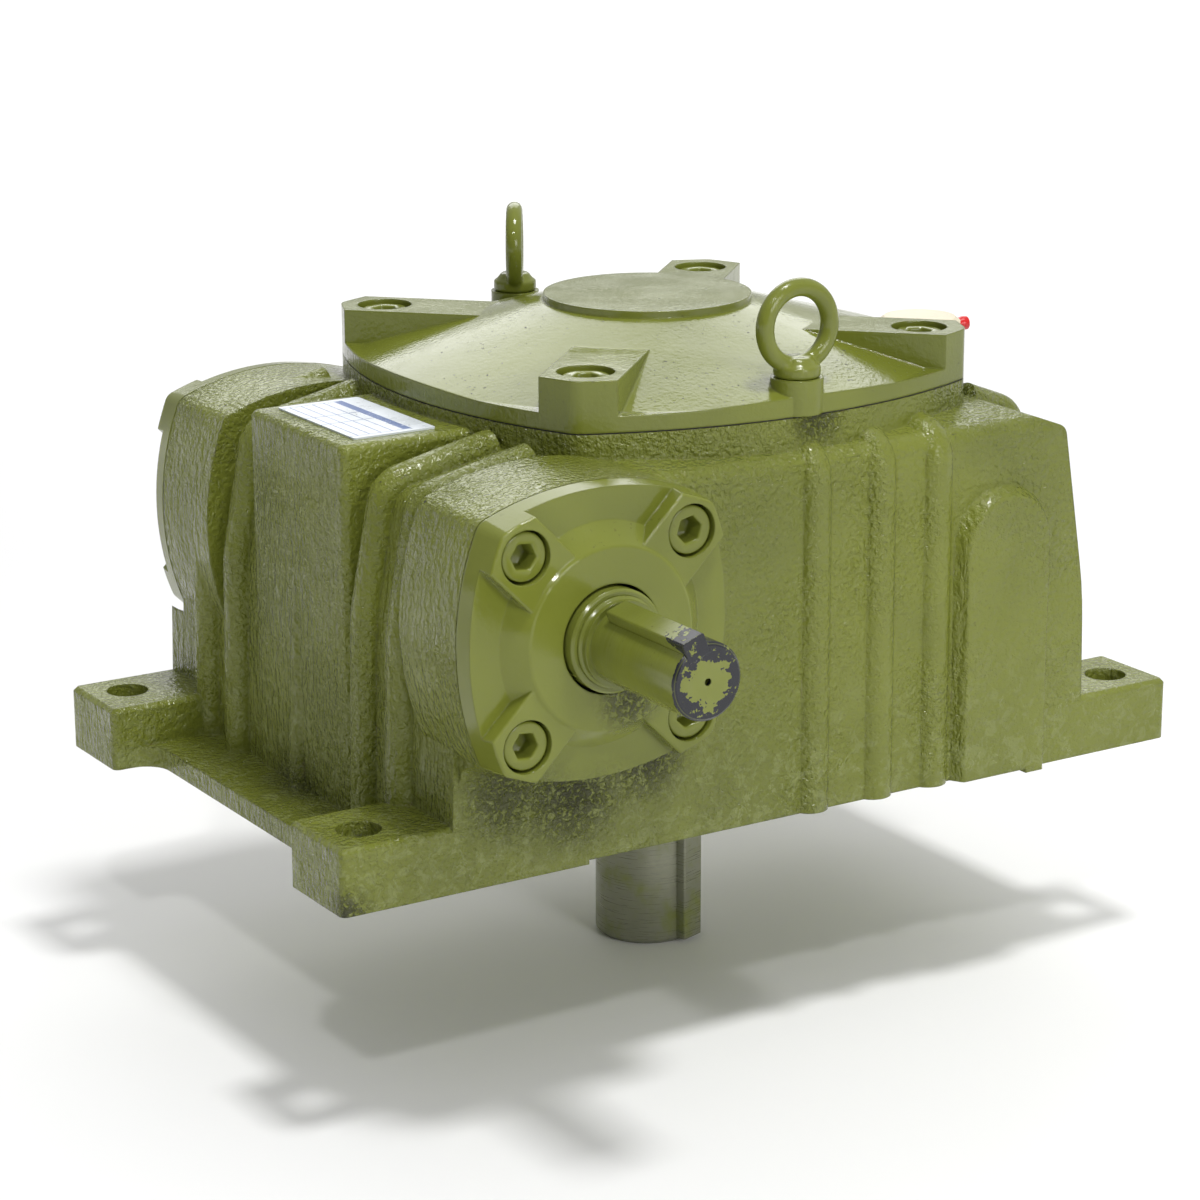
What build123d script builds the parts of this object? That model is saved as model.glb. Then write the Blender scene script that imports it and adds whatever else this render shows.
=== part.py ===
from build123d import *
import math
import os

# A worm gear reducer whose input shaft lies level and whose output shaft points down.
# Millimetres. The origin is on the output axis, in the plane of the feet.
# +X runs from the worm to the far end of the case, +Y to the back, +Z up.

# Gear pair
CENTRE_DISTANCE = 100.0
MODULE = 4.0
WORM_STARTS = 2
WORM_PITCH_DIAMETER = 40.0
WHEEL_TEETH = 40
PRESSURE_ANGLE = 20.0
WORM_THINNING = 0.24
WHEEL_THINNING = 0.2
ROOT_CLEARANCE = 1.0
WORM_LENGTH = 72.0
WORM_RUNOUT = 8.0
AXIS_HEIGHT = 86.6

# Running clearances
SHAFT_CLEARANCE = 0.08
ROLLER_CLEARANCE = 0.12
CAGE_CLEARANCE = 0.15

# Feet
FOOT_THICKNESS = 22.5
FOOT_WIDTH = 36.0
FOOT_CORNER = 2.5
BASE_HALF_WIDTH = 104.0
WORM_FOOT_REACH = 182.0
WHEEL_FOOT_REACH = 158.6
BOLT_HOLE_RADIUS = 7.5
BOLT_SPACING_X = 310.0
BOLT_SPACING_Y = 176.0
WORM_BOLT_X = -167.0
WEB_THICKNESS = 7.5
WEB_SETBACK = 16.5
WEB_CORNER = 10.0
RELIEF_DEPTH = 1.5
RELIEF_HALF_LENGTH = 90.0

# Case walls: each side is a line of (distance out, height) points, foot to shoulder
WORM_SIDE = [(142.0, 0.0), (140.0, 79.0), (132.0, 121.8), (92.0, 130.5)]
WORM_SIDE_RADII = [120.0, 9.0]
WHEEL_SIDE = [(119.0, 0.0), (117.5, 62.0), (107.6, 123.0), (88.0, 130.5)]
WHEEL_SIDE_RADII = [150.0, 5.0]
FLANK_SIDE = [(104.0, 0.0), (103.2, 127.0), (80.0, 132.0)]
FLANK_SIDE_RADII = [6.0]
CASE_TOP = 131.5
CASE_CORNER = 4.0
WALL = 9.5
FLANK_WALL = 12.0
FLOOR_HEIGHT = 30.0
CHAMBER_CORNER = 20.0

# Ribs that climb the walls and turn over the shoulder
RIB_RADIUS = 6.0
WORM_RIB_PROUD = 6.0
WORM_RIB_PLACES = [47.0, 71.0]
WHEEL_RIB_PROUD = 4.6
FLANK_RIB_RADIUS = 7.0
FLANK_RIB_PROUD = 3.2
FLANK_RIB_PLACES = [1.0, 28.0, 52.0]
RIB_BEND = 8.0

# Plate block on the worm side, and the raised pad on the flank
BLOCK_FACE = 143.5
BLOCK_FRONT = -38.0
BLOCK_BACK = 30.0
BLOCK_TOP = 135.0
BLOCK_EDGE = 3.0
SPINE_RADIUS = 5.0
SPINE_TOP = 122.0
PAD_CENTRE = 80.0
PAD_RADIUS = 19.8
PAD_TOP = 104.5
PAD_PROUD = 4.6
PAD_SLOPE = 32.0
PLATE_LENGTH = 55.0
PLATE_WIDTH = 31.0
PLATE_THICKNESS = 0.6
PLATE_X = -120.0
PLATE_Y = -4.0

# Top cover and its seat
SEAT_TOP = 139.0
GASKET = 0.5
COVER_HALF = 98.5
COVER_BOW = 185.0
COVER_CORNER = 7.0
COVER_RIM = 5.5
COVER_WALL = 9.0
COVER_BORE = 90.0
CONE_INNER_RADIUS = 38.0
CONE_INNER_HEIGHT = 163.0
CONE_OUTER_RADIUS = 102.0
DISC_RADIUS = 36.9
DISC_HEIGHT = 165.5
LUG_HEIGHT = 157.0
LUG_WIDTH = 26.6
LUG_INNER_RADIUS = 50.0
COVER_SCREW_RADIUS = 97.0
EYE_OFFSET = 91.7
EYE_BOSS_RADIUS = 9.0
EYE_BOSS_TOP = 151.5
SPIGOT_DEPTH = 5.0

# Bearing covers on the worm axis
FRONT_BOSS_FACE = 119.5
REAR_BOSS_FACE = 94.0
BOSS_DEPTH = 36.0
FRONT_COVER_HALF = 48.4
REAR_COVER_HALF = 47.2
COVER_DRAFT = 6.0
FACING_MARGIN = 2.5
BEARING_COVER_BOW = 98.0
BEARING_COVER_CORNER = 6.0
BEARING_COVER_RIM = 7.0
BEARING_LUG_HEIGHT = 13.0
BEARING_LUG_WIDTH = 23.0
BEARING_HUB_HEIGHT = 14.0
BEARING_HUB_RADIUS = 30.0
BEARING_CONE_RADIUS = 37.0
BEARING_SCREW_OFFSET = 30.6
SEAL_LIP_RADIUS = 18.0

# Socket screws
SCREW_RADIUS = 5.0
SCREW_CLEARANCE_RADIUS = 5.5
HEAD_RADIUS = 8.0
HEAD_HEIGHT = 10.0
SOCKET_ACROSS_FLATS = 8.0
SOCKET_DEPTH = 5.0
COVER_COUNTERBORE = 9.8
BEARING_COUNTERBORE = 8.8
COVER_SCREW_LENGTH = 25.0
BEARING_SCREW_LENGTH = 22.0
HEAD_SINK = 1.2

# Eye bolts
EYE_INNER_RADIUS = 10.0
EYE_BAR_RADIUS = 3.15
EYE_COLLAR_RADIUS = 8.0
EYE_COLLAR_HEIGHT = 5.0
EYE_CENTRE_HEIGHT = 17.0
EYE_THREAD_RADIUS = 4.0
EYE_THREAD_LENGTH = 10.0
REAR_EYE_TURN = 58.0

# Tapered roller bearings: bore radius, outer radius, width, cone width, cup width, roller count
WORM_BEARING = (15.0, 31.0, 17.25, 16.0, 14.0, 15)
OUTPUT_BEARING = (20.0, 40.0, 19.75, 18.0, 16.0, 16)
CUP_ANGLE = 14.04
ROLLER_TILT = 12.22
CONE_ANGLE = 2 * ROLLER_TILT - CUP_ANGLE
ROLLER_SHARE = 0.74
LOWER_RIB = 1.6
UPPER_RIB = 1.0
CAGE_OFFSET = 0.5
CAGE_WALL = 0.9
CAGE_BAND = 1.0

# Worm shaft, measured along its axis from the wheel's centre line
INPUT_END = 188.0
INPUT_RADIUS = 12.5
INPUT_LENGTH = 47.0
INPUT_KEY = (8.0, 7.0, 4.0, 43.0)
INPUT_KEY_TURN = 21.0
CENTRE_HOLE_RADIUS = 1.2
CENTRE_HOLE_DEPTH = 5.0
COLLAR_RADIUS = 14.2
COLLAR_LENGTH = 2.0
SLEEVE_RADIUS = 17.0
SLEEVE_END = 137.5
SHOULDER_RADIUS = 18.0
SHAFT_CHAMFER = 1.0

# Output shaft, by height
OUTPUT_RADIUS = 19.0
OUTPUT_LENGTH = 75.0
OUTPUT_KEY = (10.0, 8.0, 5.0, 70.0)
OUTPUT_KEY_TURN = 18.0
OUTPUT_CHAMFER = 1.5
KEY_EDGE = 0.4
LOWER_BEARING_FLOOR = 16.0
OUTPUT_SHOULDER_RADIUS = 25.0
WHEEL_SEAT_RADIUS = 23.0
SPACER_RADIUS = 24.5
UPPER_JOURNAL_TOP = 156.0
LOWER_BOSS_RADIUS = 50.0
COVER_BOSS_RADIUS = 48.0
UPPER_BEARING_TOP = 157.0

# Worm wheel
WHEEL_WIDTH = 34.0
WHEEL_TIP_RADIUS = 86.5
RIM_BORE_RADIUS = 64.0
HUB_RADIUS = 38.0
HUB_LENGTH = 60.0
HUB_WEB = 16.0
WHEEL_KEY_WIDTH = 14.0
WHEEL_KEY_HEIGHT = 9.0
WHEEL_KEY_LENGTH = 50.0
WHEEL_KEY_SINK = 5.5
RIM_SCREW_COUNT = 6
RIM_SCREW_RADIUS = 4.0
RIM_SCREW_LENGTH = 16.0

# Oil seals: outer radius and width
INPUT_SEAL = (23.5, 7.0)
OUTPUT_SEAL = (29.0, 8.0)
SEAL_SHELL = 1.5

# Breather, drain plug and oil level glass on the far end wall
BREATHER_REACH = 121.5
BREATHER_BOSS_RADIUS = 12.0
BREATHER_BOSS_TOP = 120.0
BREATHER_BOSS_HEIGHT = 17.0
BREATHER_THREAD_RADIUS = 6.5
BREATHER_HEX = 19.0
BREATHER_HEX_HEIGHT = 7.0
BREATHER_NECK_RADIUS = 7.0
CAP_RADIUS = 15.3
CAP_TOP = 144.0
CAP_HEIGHT = 13.0
PIN_HEAD_RADIUS = 2.6
PIN_RADIUS = 1.5
PIN_REACH = 22.0
PIN_HEIGHT = 138.6
PLUG_HEIGHT = 36.0
PLUG_BOSS_RADIUS = 14.0
PLUG_THREAD_RADIUS = 6.6
PLUG_HEX = 17.0
PLUG_HEX_HEIGHT = 8.0
PLUG_WASHER = 1.5
GLASS_HEIGHT = 72.0
GLASS_BOSS_RADIUS = 18.0
GLASS_RADIUS = 10.0
GLASS_RING_RADIUS = 16.0
GLASS_RING_HEIGHT = 5.0
END_BOSS_FACE = 121.5

# Derived
WORM_X = -CENTRE_DISTANCE
AXIAL_PITCH = math.pi * MODULE
LEAD = AXIAL_PITCH * WORM_STARTS
WORM_TIP = WORM_PITCH_DIAMETER / 2 + MODULE
WORM_ROOT = WORM_PITCH_DIAMETER / 2 - MODULE - ROOT_CLEARANCE
WHEEL_PITCH_RADIUS = MODULE * WHEEL_TEETH / 2
WHEEL_ROOT = CENTRE_DISTANCE - WORM_TIP - ROOT_CLEARANCE
COVER_FLOOR = SEAT_TOP + GASKET
FRONT_SEAT = FRONT_BOSS_FACE + GASKET
REAR_SEAT = REAR_BOSS_FACE + GASKET
WHEEL_BOLT_X = WORM_BOLT_X + BOLT_SPACING_X


def ring(outer, inner, bottom, top):
    """A plain ring about the Z axis between two heights."""
    blank = Pos(0, 0, bottom) * Cylinder(outer, top - bottom, align=(Align.CENTER, Align.CENTER, Align.MIN))
    if inner > 0:
        hole = Pos(0, 0, bottom) * Cylinder(inner, top - bottom, align=(Align.CENTER, Align.CENTER, Align.MIN))
        return blank - hole
    return blank


def post(radius, bottom, top):
    """A solid cylinder about the Z axis between two heights."""
    return ring(radius, 0, bottom, top)


def block(low, high):
    """A box between two opposite corners."""
    size = [b - a for a, b in zip(low, high)]
    return Pos(*low) * Box(*size, align=(Align.MIN, Align.MIN, Align.MIN))


def turned(points):
    """A solid of revolution about Z from a closed outline of (radius, height) points."""
    outline = make_face(Polyline([(r, 0, z) for r, z in points], close=True))
    return revolve(outline, Axis.Z, 360)


def along_worm(shape):
    """Carry a shape from the Z axis to the worm axis, its +Z end towards the back."""
    return Location((WORM_X, 0, AXIS_HEIGHT), (-90, 0, 0)) * shape


def pillow(half, bow, corner):
    """A square with four bowed sides and rounded corners."""
    reach = bow - half
    outline = Pos(reach, 0) * Circle(bow)
    for x, y in ((-reach, 0), (0, reach), (0, -reach)):
        outline = outline & (Pos(x, y) * Circle(bow))
    return fillet(outline.vertices(), corner)


def offset_line(points, distance):
    """The points of an open line moved outwards, to its right-hand side, by a distance."""
    moved = []
    for index, (x, y) in enumerate(points):
        normals = []
        for a, b in ((index - 1, index), (index, index + 1)):
            if a < 0 or b >= len(points):
                continue
            dx = points[b][0] - points[a][0]
            dy = points[b][1] - points[a][1]
            length = math.hypot(dx, dy)
            normals.append((dy / length, -dx / length))
        nx = sum(n[0] for n in normals) / len(normals)
        ny = sum(n[1] for n in normals) / len(normals)
        scale = distance / (nx * nx + ny * ny)
        moved.append((x + nx * scale, y + ny * scale))
    return moved


def wall_prism(left, left_radii, right, right_radii, top, depth, upright):
    """The case's outline across two opposite walls, drawn out along the third direction."""
    points = [(-out, height) for out, height in left]
    points += [(out, height) for out, height in reversed(right)]
    radii = [0.0] + left_radii + [0.0, 0.0] + list(reversed(right_radii)) + [0.0]
    flat = [(u, 0, z) if upright == "xz" else (0, u, z) for u, z in points]
    outline = make_face(FilletPolyline(*flat, radius=radii, close=True))
    direction = (0, 1, 0) if upright == "xz" else (1, 0, 0)
    return extrude(outline, amount=depth, dir=direction, both=True)


def wall_rib(side, proud, radius, place, turn):
    """A half-round rib that climbs one wall and bends over the shoulder to the cover's seat."""
    crown = offset_line(side, proud - radius)
    foot, rest = crown[0], crown[1:]
    run = [(foot[0], place, foot[1] - radius)] + [(out, place, height) for out, height in rest]
    path = FilletPolyline(*run, radius=[RIB_BEND] * (len(run) - 2))
    section = Plane(origin=path @ 0, z_dir=path % 0) * Circle(radius)
    return Rot(0, 0, turn) * sweep(section, path=path)


def worm_face_plane(distance, facing):
    """The plane across the worm axis at a distance, facing the front (-1) or the back (+1)."""
    return Plane(origin=(WORM_X, facing * distance, AXIS_HEIGHT), x_dir=(-facing, 0, 0), z_dir=(0, facing, 0))


def bearing_outline(half):
    """Outline of a bearing cover and of the boss that it closes."""
    return pillow(half, BEARING_COVER_BOW, BEARING_COVER_CORNER)


def bearing_boss(half, face, facing):
    """The case's boss behind one bearing cover."""
    return extrude(worm_face_plane(face, facing) * bearing_outline(half), amount=-BOSS_DEPTH)


def boss_facing(half, face, facing):
    """What is machined away in front of a bearing cover's seat."""
    return extrude(worm_face_plane(face, facing) * bearing_outline(half + FACING_MARGIN), amount=20.0)


def boss_skirt(half, face, facing):
    """The hollow flare where the front boss runs into the flank wall."""
    flares = ((11.0, BASE_HALF_WIDTH - 1.0), (4.0, BASE_HALF_WIDTH + 2.5), (0.0, face - 4.0))
    sections = [worm_face_plane(place, facing) * bearing_outline(half + wider) for wider, place in flares]
    flare = loft(sections, ruled=True)
    low = (-WORM_SIDE[1][0] + 1.0, -face, CASE_CORNER)
    high = (0.0, face, WORM_SIDE[2][1])
    return flare & block(low, high)


def foot(reach, sign_x, sign_y):
    """One foot, from inside the wall to its rounded end."""
    inner = 80.0
    middle = sign_x * (inner + reach) / 2
    across = sign_y * (BASE_HALF_WIDTH - FOOT_WIDTH / 2)
    pad = Pos(middle, across, FOOT_THICKNESS / 2) * Box(reach - inner, FOOT_WIDTH, FOOT_THICKNESS)
    ends = [edge for edge in pad.edges().filter_by(Axis.Z) if abs(edge.center().X) > reach - 1]
    pad = fillet(ends, FOOT_CORNER)
    return chamfer(pad.faces().sort_by(Axis.Z)[-1].edges(), 1.5)


def web(reach, sign_x):
    """The thin shelf between two feet, hollowed out between them."""
    edge = reach - WEB_SETBACK
    half = BASE_HALF_WIDTH - FOOT_WIDTH + 1.0
    plan = Pos(sign_x * (60.0 + reach - 4.0) / 2, 0) * Rectangle(reach - 4.0 - 60.0, 2 * half)
    span = 2 * (BASE_HALF_WIDTH - FOOT_WIDTH)
    hollow = Pos(sign_x * (edge + 40.0), 0) * RectangleRounded(80.0, span, WEB_CORNER)
    return extrude(plan - hollow, amount=WEB_THICKNESS)


def plate_block():
    """The flat-topped block on the worm side that carries the plate, with its spine."""
    body = block((-BLOCK_FACE, BLOCK_FRONT, 0.0), (-COVER_HALF + 8.0, BLOCK_BACK, BLOCK_TOP))
    edges = [edge for edge in body.edges() if edge.center().X < -110.0 and edge.center().Z > 1.0]
    body = fillet(edges, BLOCK_EDGE)
    lean = math.degrees(math.atan2(SPINE_RADIUS, SPINE_TOP))
    spine = Cylinder(SPINE_RADIUS, SPINE_TOP, align=(Align.CENTER, Align.CENTER, Align.MIN))
    spine = Location((-BLOCK_FACE + 1.5, 0, 0), (0, lean, 0)) * spine
    return body + spine


def flank_pad():
    """The arch-topped pad cast on the front wall, its sides sloping down to the wall."""
    sunk = 2.0
    foot_radius = PAD_RADIUS + sunk
    below = 20.0
    outline = Pos(PAD_CENTRE, (PAD_TOP - PAD_RADIUS - below) / 2) * Rectangle(
        2 * foot_radius, PAD_TOP - PAD_RADIUS + below)
    outline += Pos(PAD_CENTRE, PAD_TOP - PAD_RADIUS) * Circle(foot_radius)
    wall = Plane(origin=(0, -BASE_HALF_WIDTH + sunk, 0), x_dir=(1, 0, 0), z_dir=(0, -1, 0))
    pad = extrude(wall * outline, amount=PAD_PROUD + sunk, taper=PAD_SLOPE)
    rim = [edge for edge in pad.faces().sort_by(Axis.Y)[0].edges() if edge.center().Z > 1.0]
    return fillet(rim, 1.5)


def case_shell():
    """The outside of the case, before its chambers and holes are cut."""
    body = wall_prism(WORM_SIDE, WORM_SIDE_RADII, WHEEL_SIDE, WHEEL_SIDE_RADII, CASE_TOP, 120.0, "xz")
    body &= wall_prism(FLANK_SIDE, FLANK_SIDE_RADII, FLANK_SIDE, FLANK_SIDE_RADII, CASE_TOP, 160.0, "yz")
    body += Pos(0, 0, FLOOR_HEIGHT) * extrude(pillow(COVER_HALF, COVER_BOW, COVER_CORNER), amount=SEAT_TOP - FLOOR_HEIGHT)
    body += bearing_boss(FRONT_COVER_HALF, FRONT_BOSS_FACE, -1)
    body += bearing_boss(REAR_COVER_HALF, REAR_BOSS_FACE, 1)
    body += boss_skirt(FRONT_COVER_HALF, FRONT_BOSS_FACE, -1)
    body += plate_block()
    body += flank_pad()
    for place in WORM_RIB_PLACES:
        for sign in (1, -1):
            body += wall_rib(WORM_SIDE, WORM_RIB_PROUD, RIB_RADIUS, sign * place, 180)
            body += wall_rib(WHEEL_SIDE, WHEEL_RIB_PROUD, RIB_RADIUS, sign * place, 0)
    for place in FLANK_RIB_PLACES:
        body += wall_rib(FLANK_SIDE, FLANK_RIB_PROUD, FLANK_RIB_RADIUS, place, -90)
        body += wall_rib(FLANK_SIDE, FLANK_RIB_PROUD, FLANK_RIB_RADIUS, -place, 90)
    body -= boss_facing(FRONT_COVER_HALF, FRONT_BOSS_FACE, -1)
    body -= boss_facing(REAR_COVER_HALF, REAR_BOSS_FACE, 1)
    for sign_y in (1, -1):
        body += foot(WORM_FOOT_REACH, -1, sign_y)
        body += foot(WHEEL_FOOT_REACH, 1, sign_y)
    body += web(WORM_FOOT_REACH, -1)
    body += web(WHEEL_FOOT_REACH, 1)
    body += end_bosses()
    return body & block((-300, -300, 0), (300, 300, SEAT_TOP))


def end_axis(height):
    """The axis of a fitting on the far end wall, pointing out of the case."""
    return Location((END_BOSS_FACE, 0, height), (0, 90, 0))


def end_bosses():
    """Bosses on the far end wall for the breather, the oil level glass and the drain plug."""
    depth = 30.0
    bosses = Pos(BREATHER_REACH, 0, 0) * turned([
        (0, BREATHER_BOSS_TOP), (BREATHER_BOSS_RADIUS, BREATHER_BOSS_TOP),
        (BREATHER_BOSS_RADIUS, BREATHER_BOSS_TOP - BREATHER_BOSS_HEIGHT),
        (0, BREATHER_BOSS_TOP - BREATHER_BOSS_HEIGHT - BREATHER_BOSS_RADIUS),
    ])
    bosses += end_axis(GLASS_HEIGHT) * post(GLASS_BOSS_RADIUS, -depth, 0)
    bosses += end_axis(PLUG_HEIGHT) * post(PLUG_BOSS_RADIUS, -depth, 0)
    return bosses


def chambers():
    """The wheel chamber, the worm's oil chamber and the lower bearing's well."""
    wheel_room = post(COVER_BORE, 108.0, SEAT_TOP)
    inner_half = FLANK_SIDE[0][0] - FLANK_WALL
    wheel_end = WHEEL_SIDE[2][0] - WALL
    sump = block((-60.0, -inner_half, FLOOR_HEIGHT), (wheel_end, inner_half, 108.0))
    sump = fillet(sump.edges().filter_by(Axis.Z), CHAMBER_CORNER)
    worm_room = block((-WORM_SIDE[2][0], -80.0, 44.0), (-50.0, 64.0, 118.0))
    worm_room = fillet(worm_room.edges().filter_by(Axis.Y), 12.0)
    return (wheel_room + sump + worm_room) - post(LOWER_BOSS_RADIUS, 0, lower_bearing_top())


def lower_bearing_top():
    """Height of the lower bearing's upper face."""
    return LOWER_BEARING_FLOOR + OUTPUT_BEARING[2]


def cover_screw_places():
    """Plan positions of the four top cover screws."""
    step = COVER_SCREW_RADIUS / math.sqrt(2)
    return [(sx * step, sy * step) for sx in (1, -1) for sy in (1, -1)]


def bearing_screw_places():
    """Positions of a bearing cover's four screws, from the worm axis."""
    step = BEARING_SCREW_OFFSET
    return [(sx * step, sy * step) for sx in (1, -1) for sy in (1, -1)]


def housing():
    """The one-piece cast case."""
    case = case_shell() - chambers()
    worm_bore = WORM_BEARING[1]
    case -= along_worm(post(worm_bore, -FRONT_BOSS_FACE, REAR_BOSS_FACE))
    seal_radius, seal_width = OUTPUT_SEAL
    case -= post(OUTPUT_BEARING[1], LOWER_BEARING_FLOOR, lower_bearing_top() + 1.0)
    case -= post(seal_radius - 3.0, 0, LOWER_BEARING_FLOOR)
    case -= post(seal_radius, 0, RELIEF_DEPTH + 1.5 + seal_width)
    case -= block((-RELIEF_HALF_LENGTH, -130, 0), (RELIEF_HALF_LENGTH, 130, RELIEF_DEPTH))
    for x in (WORM_BOLT_X, WHEEL_BOLT_X):
        for y in (BOLT_SPACING_Y / 2, -BOLT_SPACING_Y / 2):
            case -= Pos(x, y, 0) * post(BOLT_HOLE_RADIUS, 0, FOOT_THICKNESS)
    for x, y in cover_screw_places():
        case -= Pos(x, y, 0) * post(SCREW_RADIUS, cover_screw_tip() - 2.0, SEAT_TOP)
    for x, y in bearing_screw_places():
        depth = BEARING_SCREW_LENGTH - bearing_head_floor() + 2.0
        case -= along_worm(Pos(x, y, 0) * post(SCREW_RADIUS, -FRONT_BOSS_FACE, -FRONT_BOSS_FACE + depth))
        case -= along_worm(Pos(x, y, 0) * post(SCREW_RADIUS, REAR_BOSS_FACE - depth, REAR_BOSS_FACE))
    case -= Pos(BREATHER_REACH, 0, 0) * post(BREATHER_THREAD_RADIUS, BREATHER_BOSS_TOP - 14.0, BREATHER_BOSS_TOP)
    case -= end_axis(GLASS_HEIGHT) * post(GLASS_RADIUS, -30.0, 0)
    case -= end_axis(PLUG_HEIGHT) * post(PLUG_THREAD_RADIUS, -30.0, 0)
    return case


def cone_height(radius):
    """Height of the top cover's sloping roof at a radius."""
    fall = (CONE_INNER_HEIGHT - COVER_FLOOR - COVER_RIM) / (CONE_OUTER_RADIUS - CONE_INNER_RADIUS)
    return CONE_INNER_HEIGHT - fall * (radius - CONE_INNER_RADIUS)


def cover_screw_seat():
    """Height of the floor of a top cover counterbore."""
    return LUG_HEIGHT - HEAD_SINK - HEAD_HEIGHT


def cover_screw_tip():
    """Height of the lower end of a top cover screw."""
    return cover_screw_seat() - COVER_SCREW_LENGTH


def top_cover():
    """The cast cover: pillow-shaped rim, low cone, round disc, four lugs and two eye bosses."""
    rim_top = COVER_FLOOR + COVER_RIM
    outline = pillow(COVER_HALF, COVER_BOW, COVER_CORNER)
    plate = Pos(0, 0, COVER_FLOOR) * extrude(outline, amount=COVER_RIM)
    cone = turned([
        (0, COVER_FLOOR), (CONE_OUTER_RADIUS, COVER_FLOOR), (CONE_OUTER_RADIUS, rim_top),
        (CONE_INNER_RADIUS, CONE_INNER_HEIGHT), (0, CONE_INNER_HEIGHT),
    ])
    tall = Pos(0, 0, COVER_FLOOR) * extrude(outline, amount=LUG_HEIGHT - COVER_FLOOR)
    roof = Pos(0, 0, COVER_FLOOR) * extrude(outline, amount=DISC_HEIGHT - COVER_FLOOR)
    cover = plate + (cone & roof) + post(DISC_RADIUS, CONE_INNER_HEIGHT - 2.0, DISC_HEIGHT)
    arm = COVER_SCREW_RADIUS * 1.5 - LUG_INNER_RADIUS
    bars = Pos(LUG_INNER_RADIUS + arm / 2, 0, (COVER_FLOOR + LUG_HEIGHT) / 2) * Box(
        arm, LUG_WIDTH, LUG_HEIGHT - COVER_FLOOR)
    for turn in (45, 135, 225, 315):
        cover += (Rot(0, 0, turn) * bars) & tall
    for sign in (1, -1):
        cover += Pos(0, sign * EYE_OFFSET, 0) * post(EYE_BOSS_RADIUS, COVER_FLOOR, EYE_BOSS_TOP)
    cover += post(COVER_BORE - 0.05, COVER_FLOOR - SPIGOT_DEPTH, COVER_FLOOR)
    hollow = turned([
        (COVER_BOSS_RADIUS, COVER_FLOOR - SPIGOT_DEPTH), (COVER_BORE - 6.0, COVER_FLOOR - SPIGOT_DEPTH),
        (COVER_BORE - 6.0, cone_height(COVER_BORE - 6.0) - COVER_WALL),
        (COVER_BOSS_RADIUS, cone_height(COVER_BOSS_RADIUS) - COVER_WALL),
    ])
    cover -= hollow
    cover -= post(OUTPUT_BEARING[1], COVER_FLOOR - SPIGOT_DEPTH, UPPER_BEARING_TOP)
    for x, y in cover_screw_places():
        cover -= Pos(x, y, 0) * post(COVER_COUNTERBORE, cover_screw_seat(), LUG_HEIGHT)
        cover -= Pos(x, y, 0) * post(SCREW_CLEARANCE_RADIUS, COVER_FLOOR - 1.0, cover_screw_seat())
    for sign in (1, -1):
        cover -= Pos(0, sign * EYE_OFFSET, 0) * post(EYE_THREAD_RADIUS, EYE_BOSS_TOP - EYE_THREAD_LENGTH, EYE_BOSS_TOP)
    return cover


def top_cover_gasket():
    """The flat gasket between case and top cover."""
    sheet = extrude(pillow(COVER_HALF - 0.4, COVER_BOW, COVER_CORNER), amount=GASKET)
    sheet = Pos(0, 0, SEAT_TOP) * sheet - post(COVER_BORE, SEAT_TOP, COVER_FLOOR)
    for x, y in cover_screw_places():
        sheet -= Pos(x, y, 0) * post(SCREW_CLEARANCE_RADIUS, SEAT_TOP, COVER_FLOOR)
    return sheet


def socket_screw(length):
    """A socket-head screw with its head's seat at the origin, its shank pointing down."""
    shank = post(SCREW_RADIUS, -length, 0)
    head = post(HEAD_RADIUS, 0, HEAD_HEIGHT)
    head = chamfer(head.edges().sort_by(Axis.Z)[-1], 0.8)
    socket = RegularPolygon(SOCKET_ACROSS_FLATS / 2, 6, major_radius=False)
    socket = Pos(0, 0, HEAD_HEIGHT - SOCKET_DEPTH) * extrude(socket, amount=SOCKET_DEPTH)
    return shank + head - socket


def cover_screws():
    """The four screws of the top cover."""
    screw = socket_screw(COVER_SCREW_LENGTH)
    return [Pos(x, y, cover_screw_seat()) * Rot(0, 0, 15 + 20 * n) * screw
            for n, (x, y) in enumerate(cover_screw_places())]


def bearing_head_floor():
    """Depth of a bearing cover's counterbore floor above its seat."""
    return BEARING_LUG_HEIGHT - HEAD_SINK - HEAD_HEIGHT


def bearing_cover_blank(half):
    """A bearing cover seen from its seat at Z 0, outside up: rim, cone, hub and four lugs."""
    tall = extrude(bearing_outline(half), amount=BEARING_LUG_HEIGHT, taper=COVER_DRAFT)
    cover = tall & post(2 * half, 0, BEARING_COVER_RIM)
    hub = turned([
        (0, 0), (BEARING_CONE_RADIUS, 0), (BEARING_CONE_RADIUS, BEARING_COVER_RIM),
        (BEARING_HUB_RADIUS, BEARING_HUB_HEIGHT), (0, BEARING_HUB_HEIGHT),
    ])
    cover += fillet(hub.edges().filter_by(GeomType.CIRCLE).sort_by(Axis.Z)[-1], 1.2)
    arm = half * 1.5
    bar = Pos(arm / 2, 0, BEARING_LUG_HEIGHT / 2) * Box(arm, BEARING_LUG_WIDTH, BEARING_LUG_HEIGHT)
    for turn in (45, 135, 225, 315):
        lug = (Rot(0, 0, turn) * bar) & tall
        cover += fillet(lug.faces().sort_by(Axis.Z)[-1].edges(), 0.8)
    for x, y in bearing_screw_places():
        cover -= Pos(x, y, 0) * post(BEARING_COUNTERBORE, bearing_head_floor(), BEARING_LUG_HEIGHT)
        cover -= Pos(x, y, 0) * post(SCREW_CLEARANCE_RADIUS, 0, bearing_head_floor())
    return cover


def to_front(shape, seat):
    """Turn a cover drawn outside-up so that it faces the front at its seat on the worm axis."""
    return worm_face_plane(seat, -1).location * shape


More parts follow.
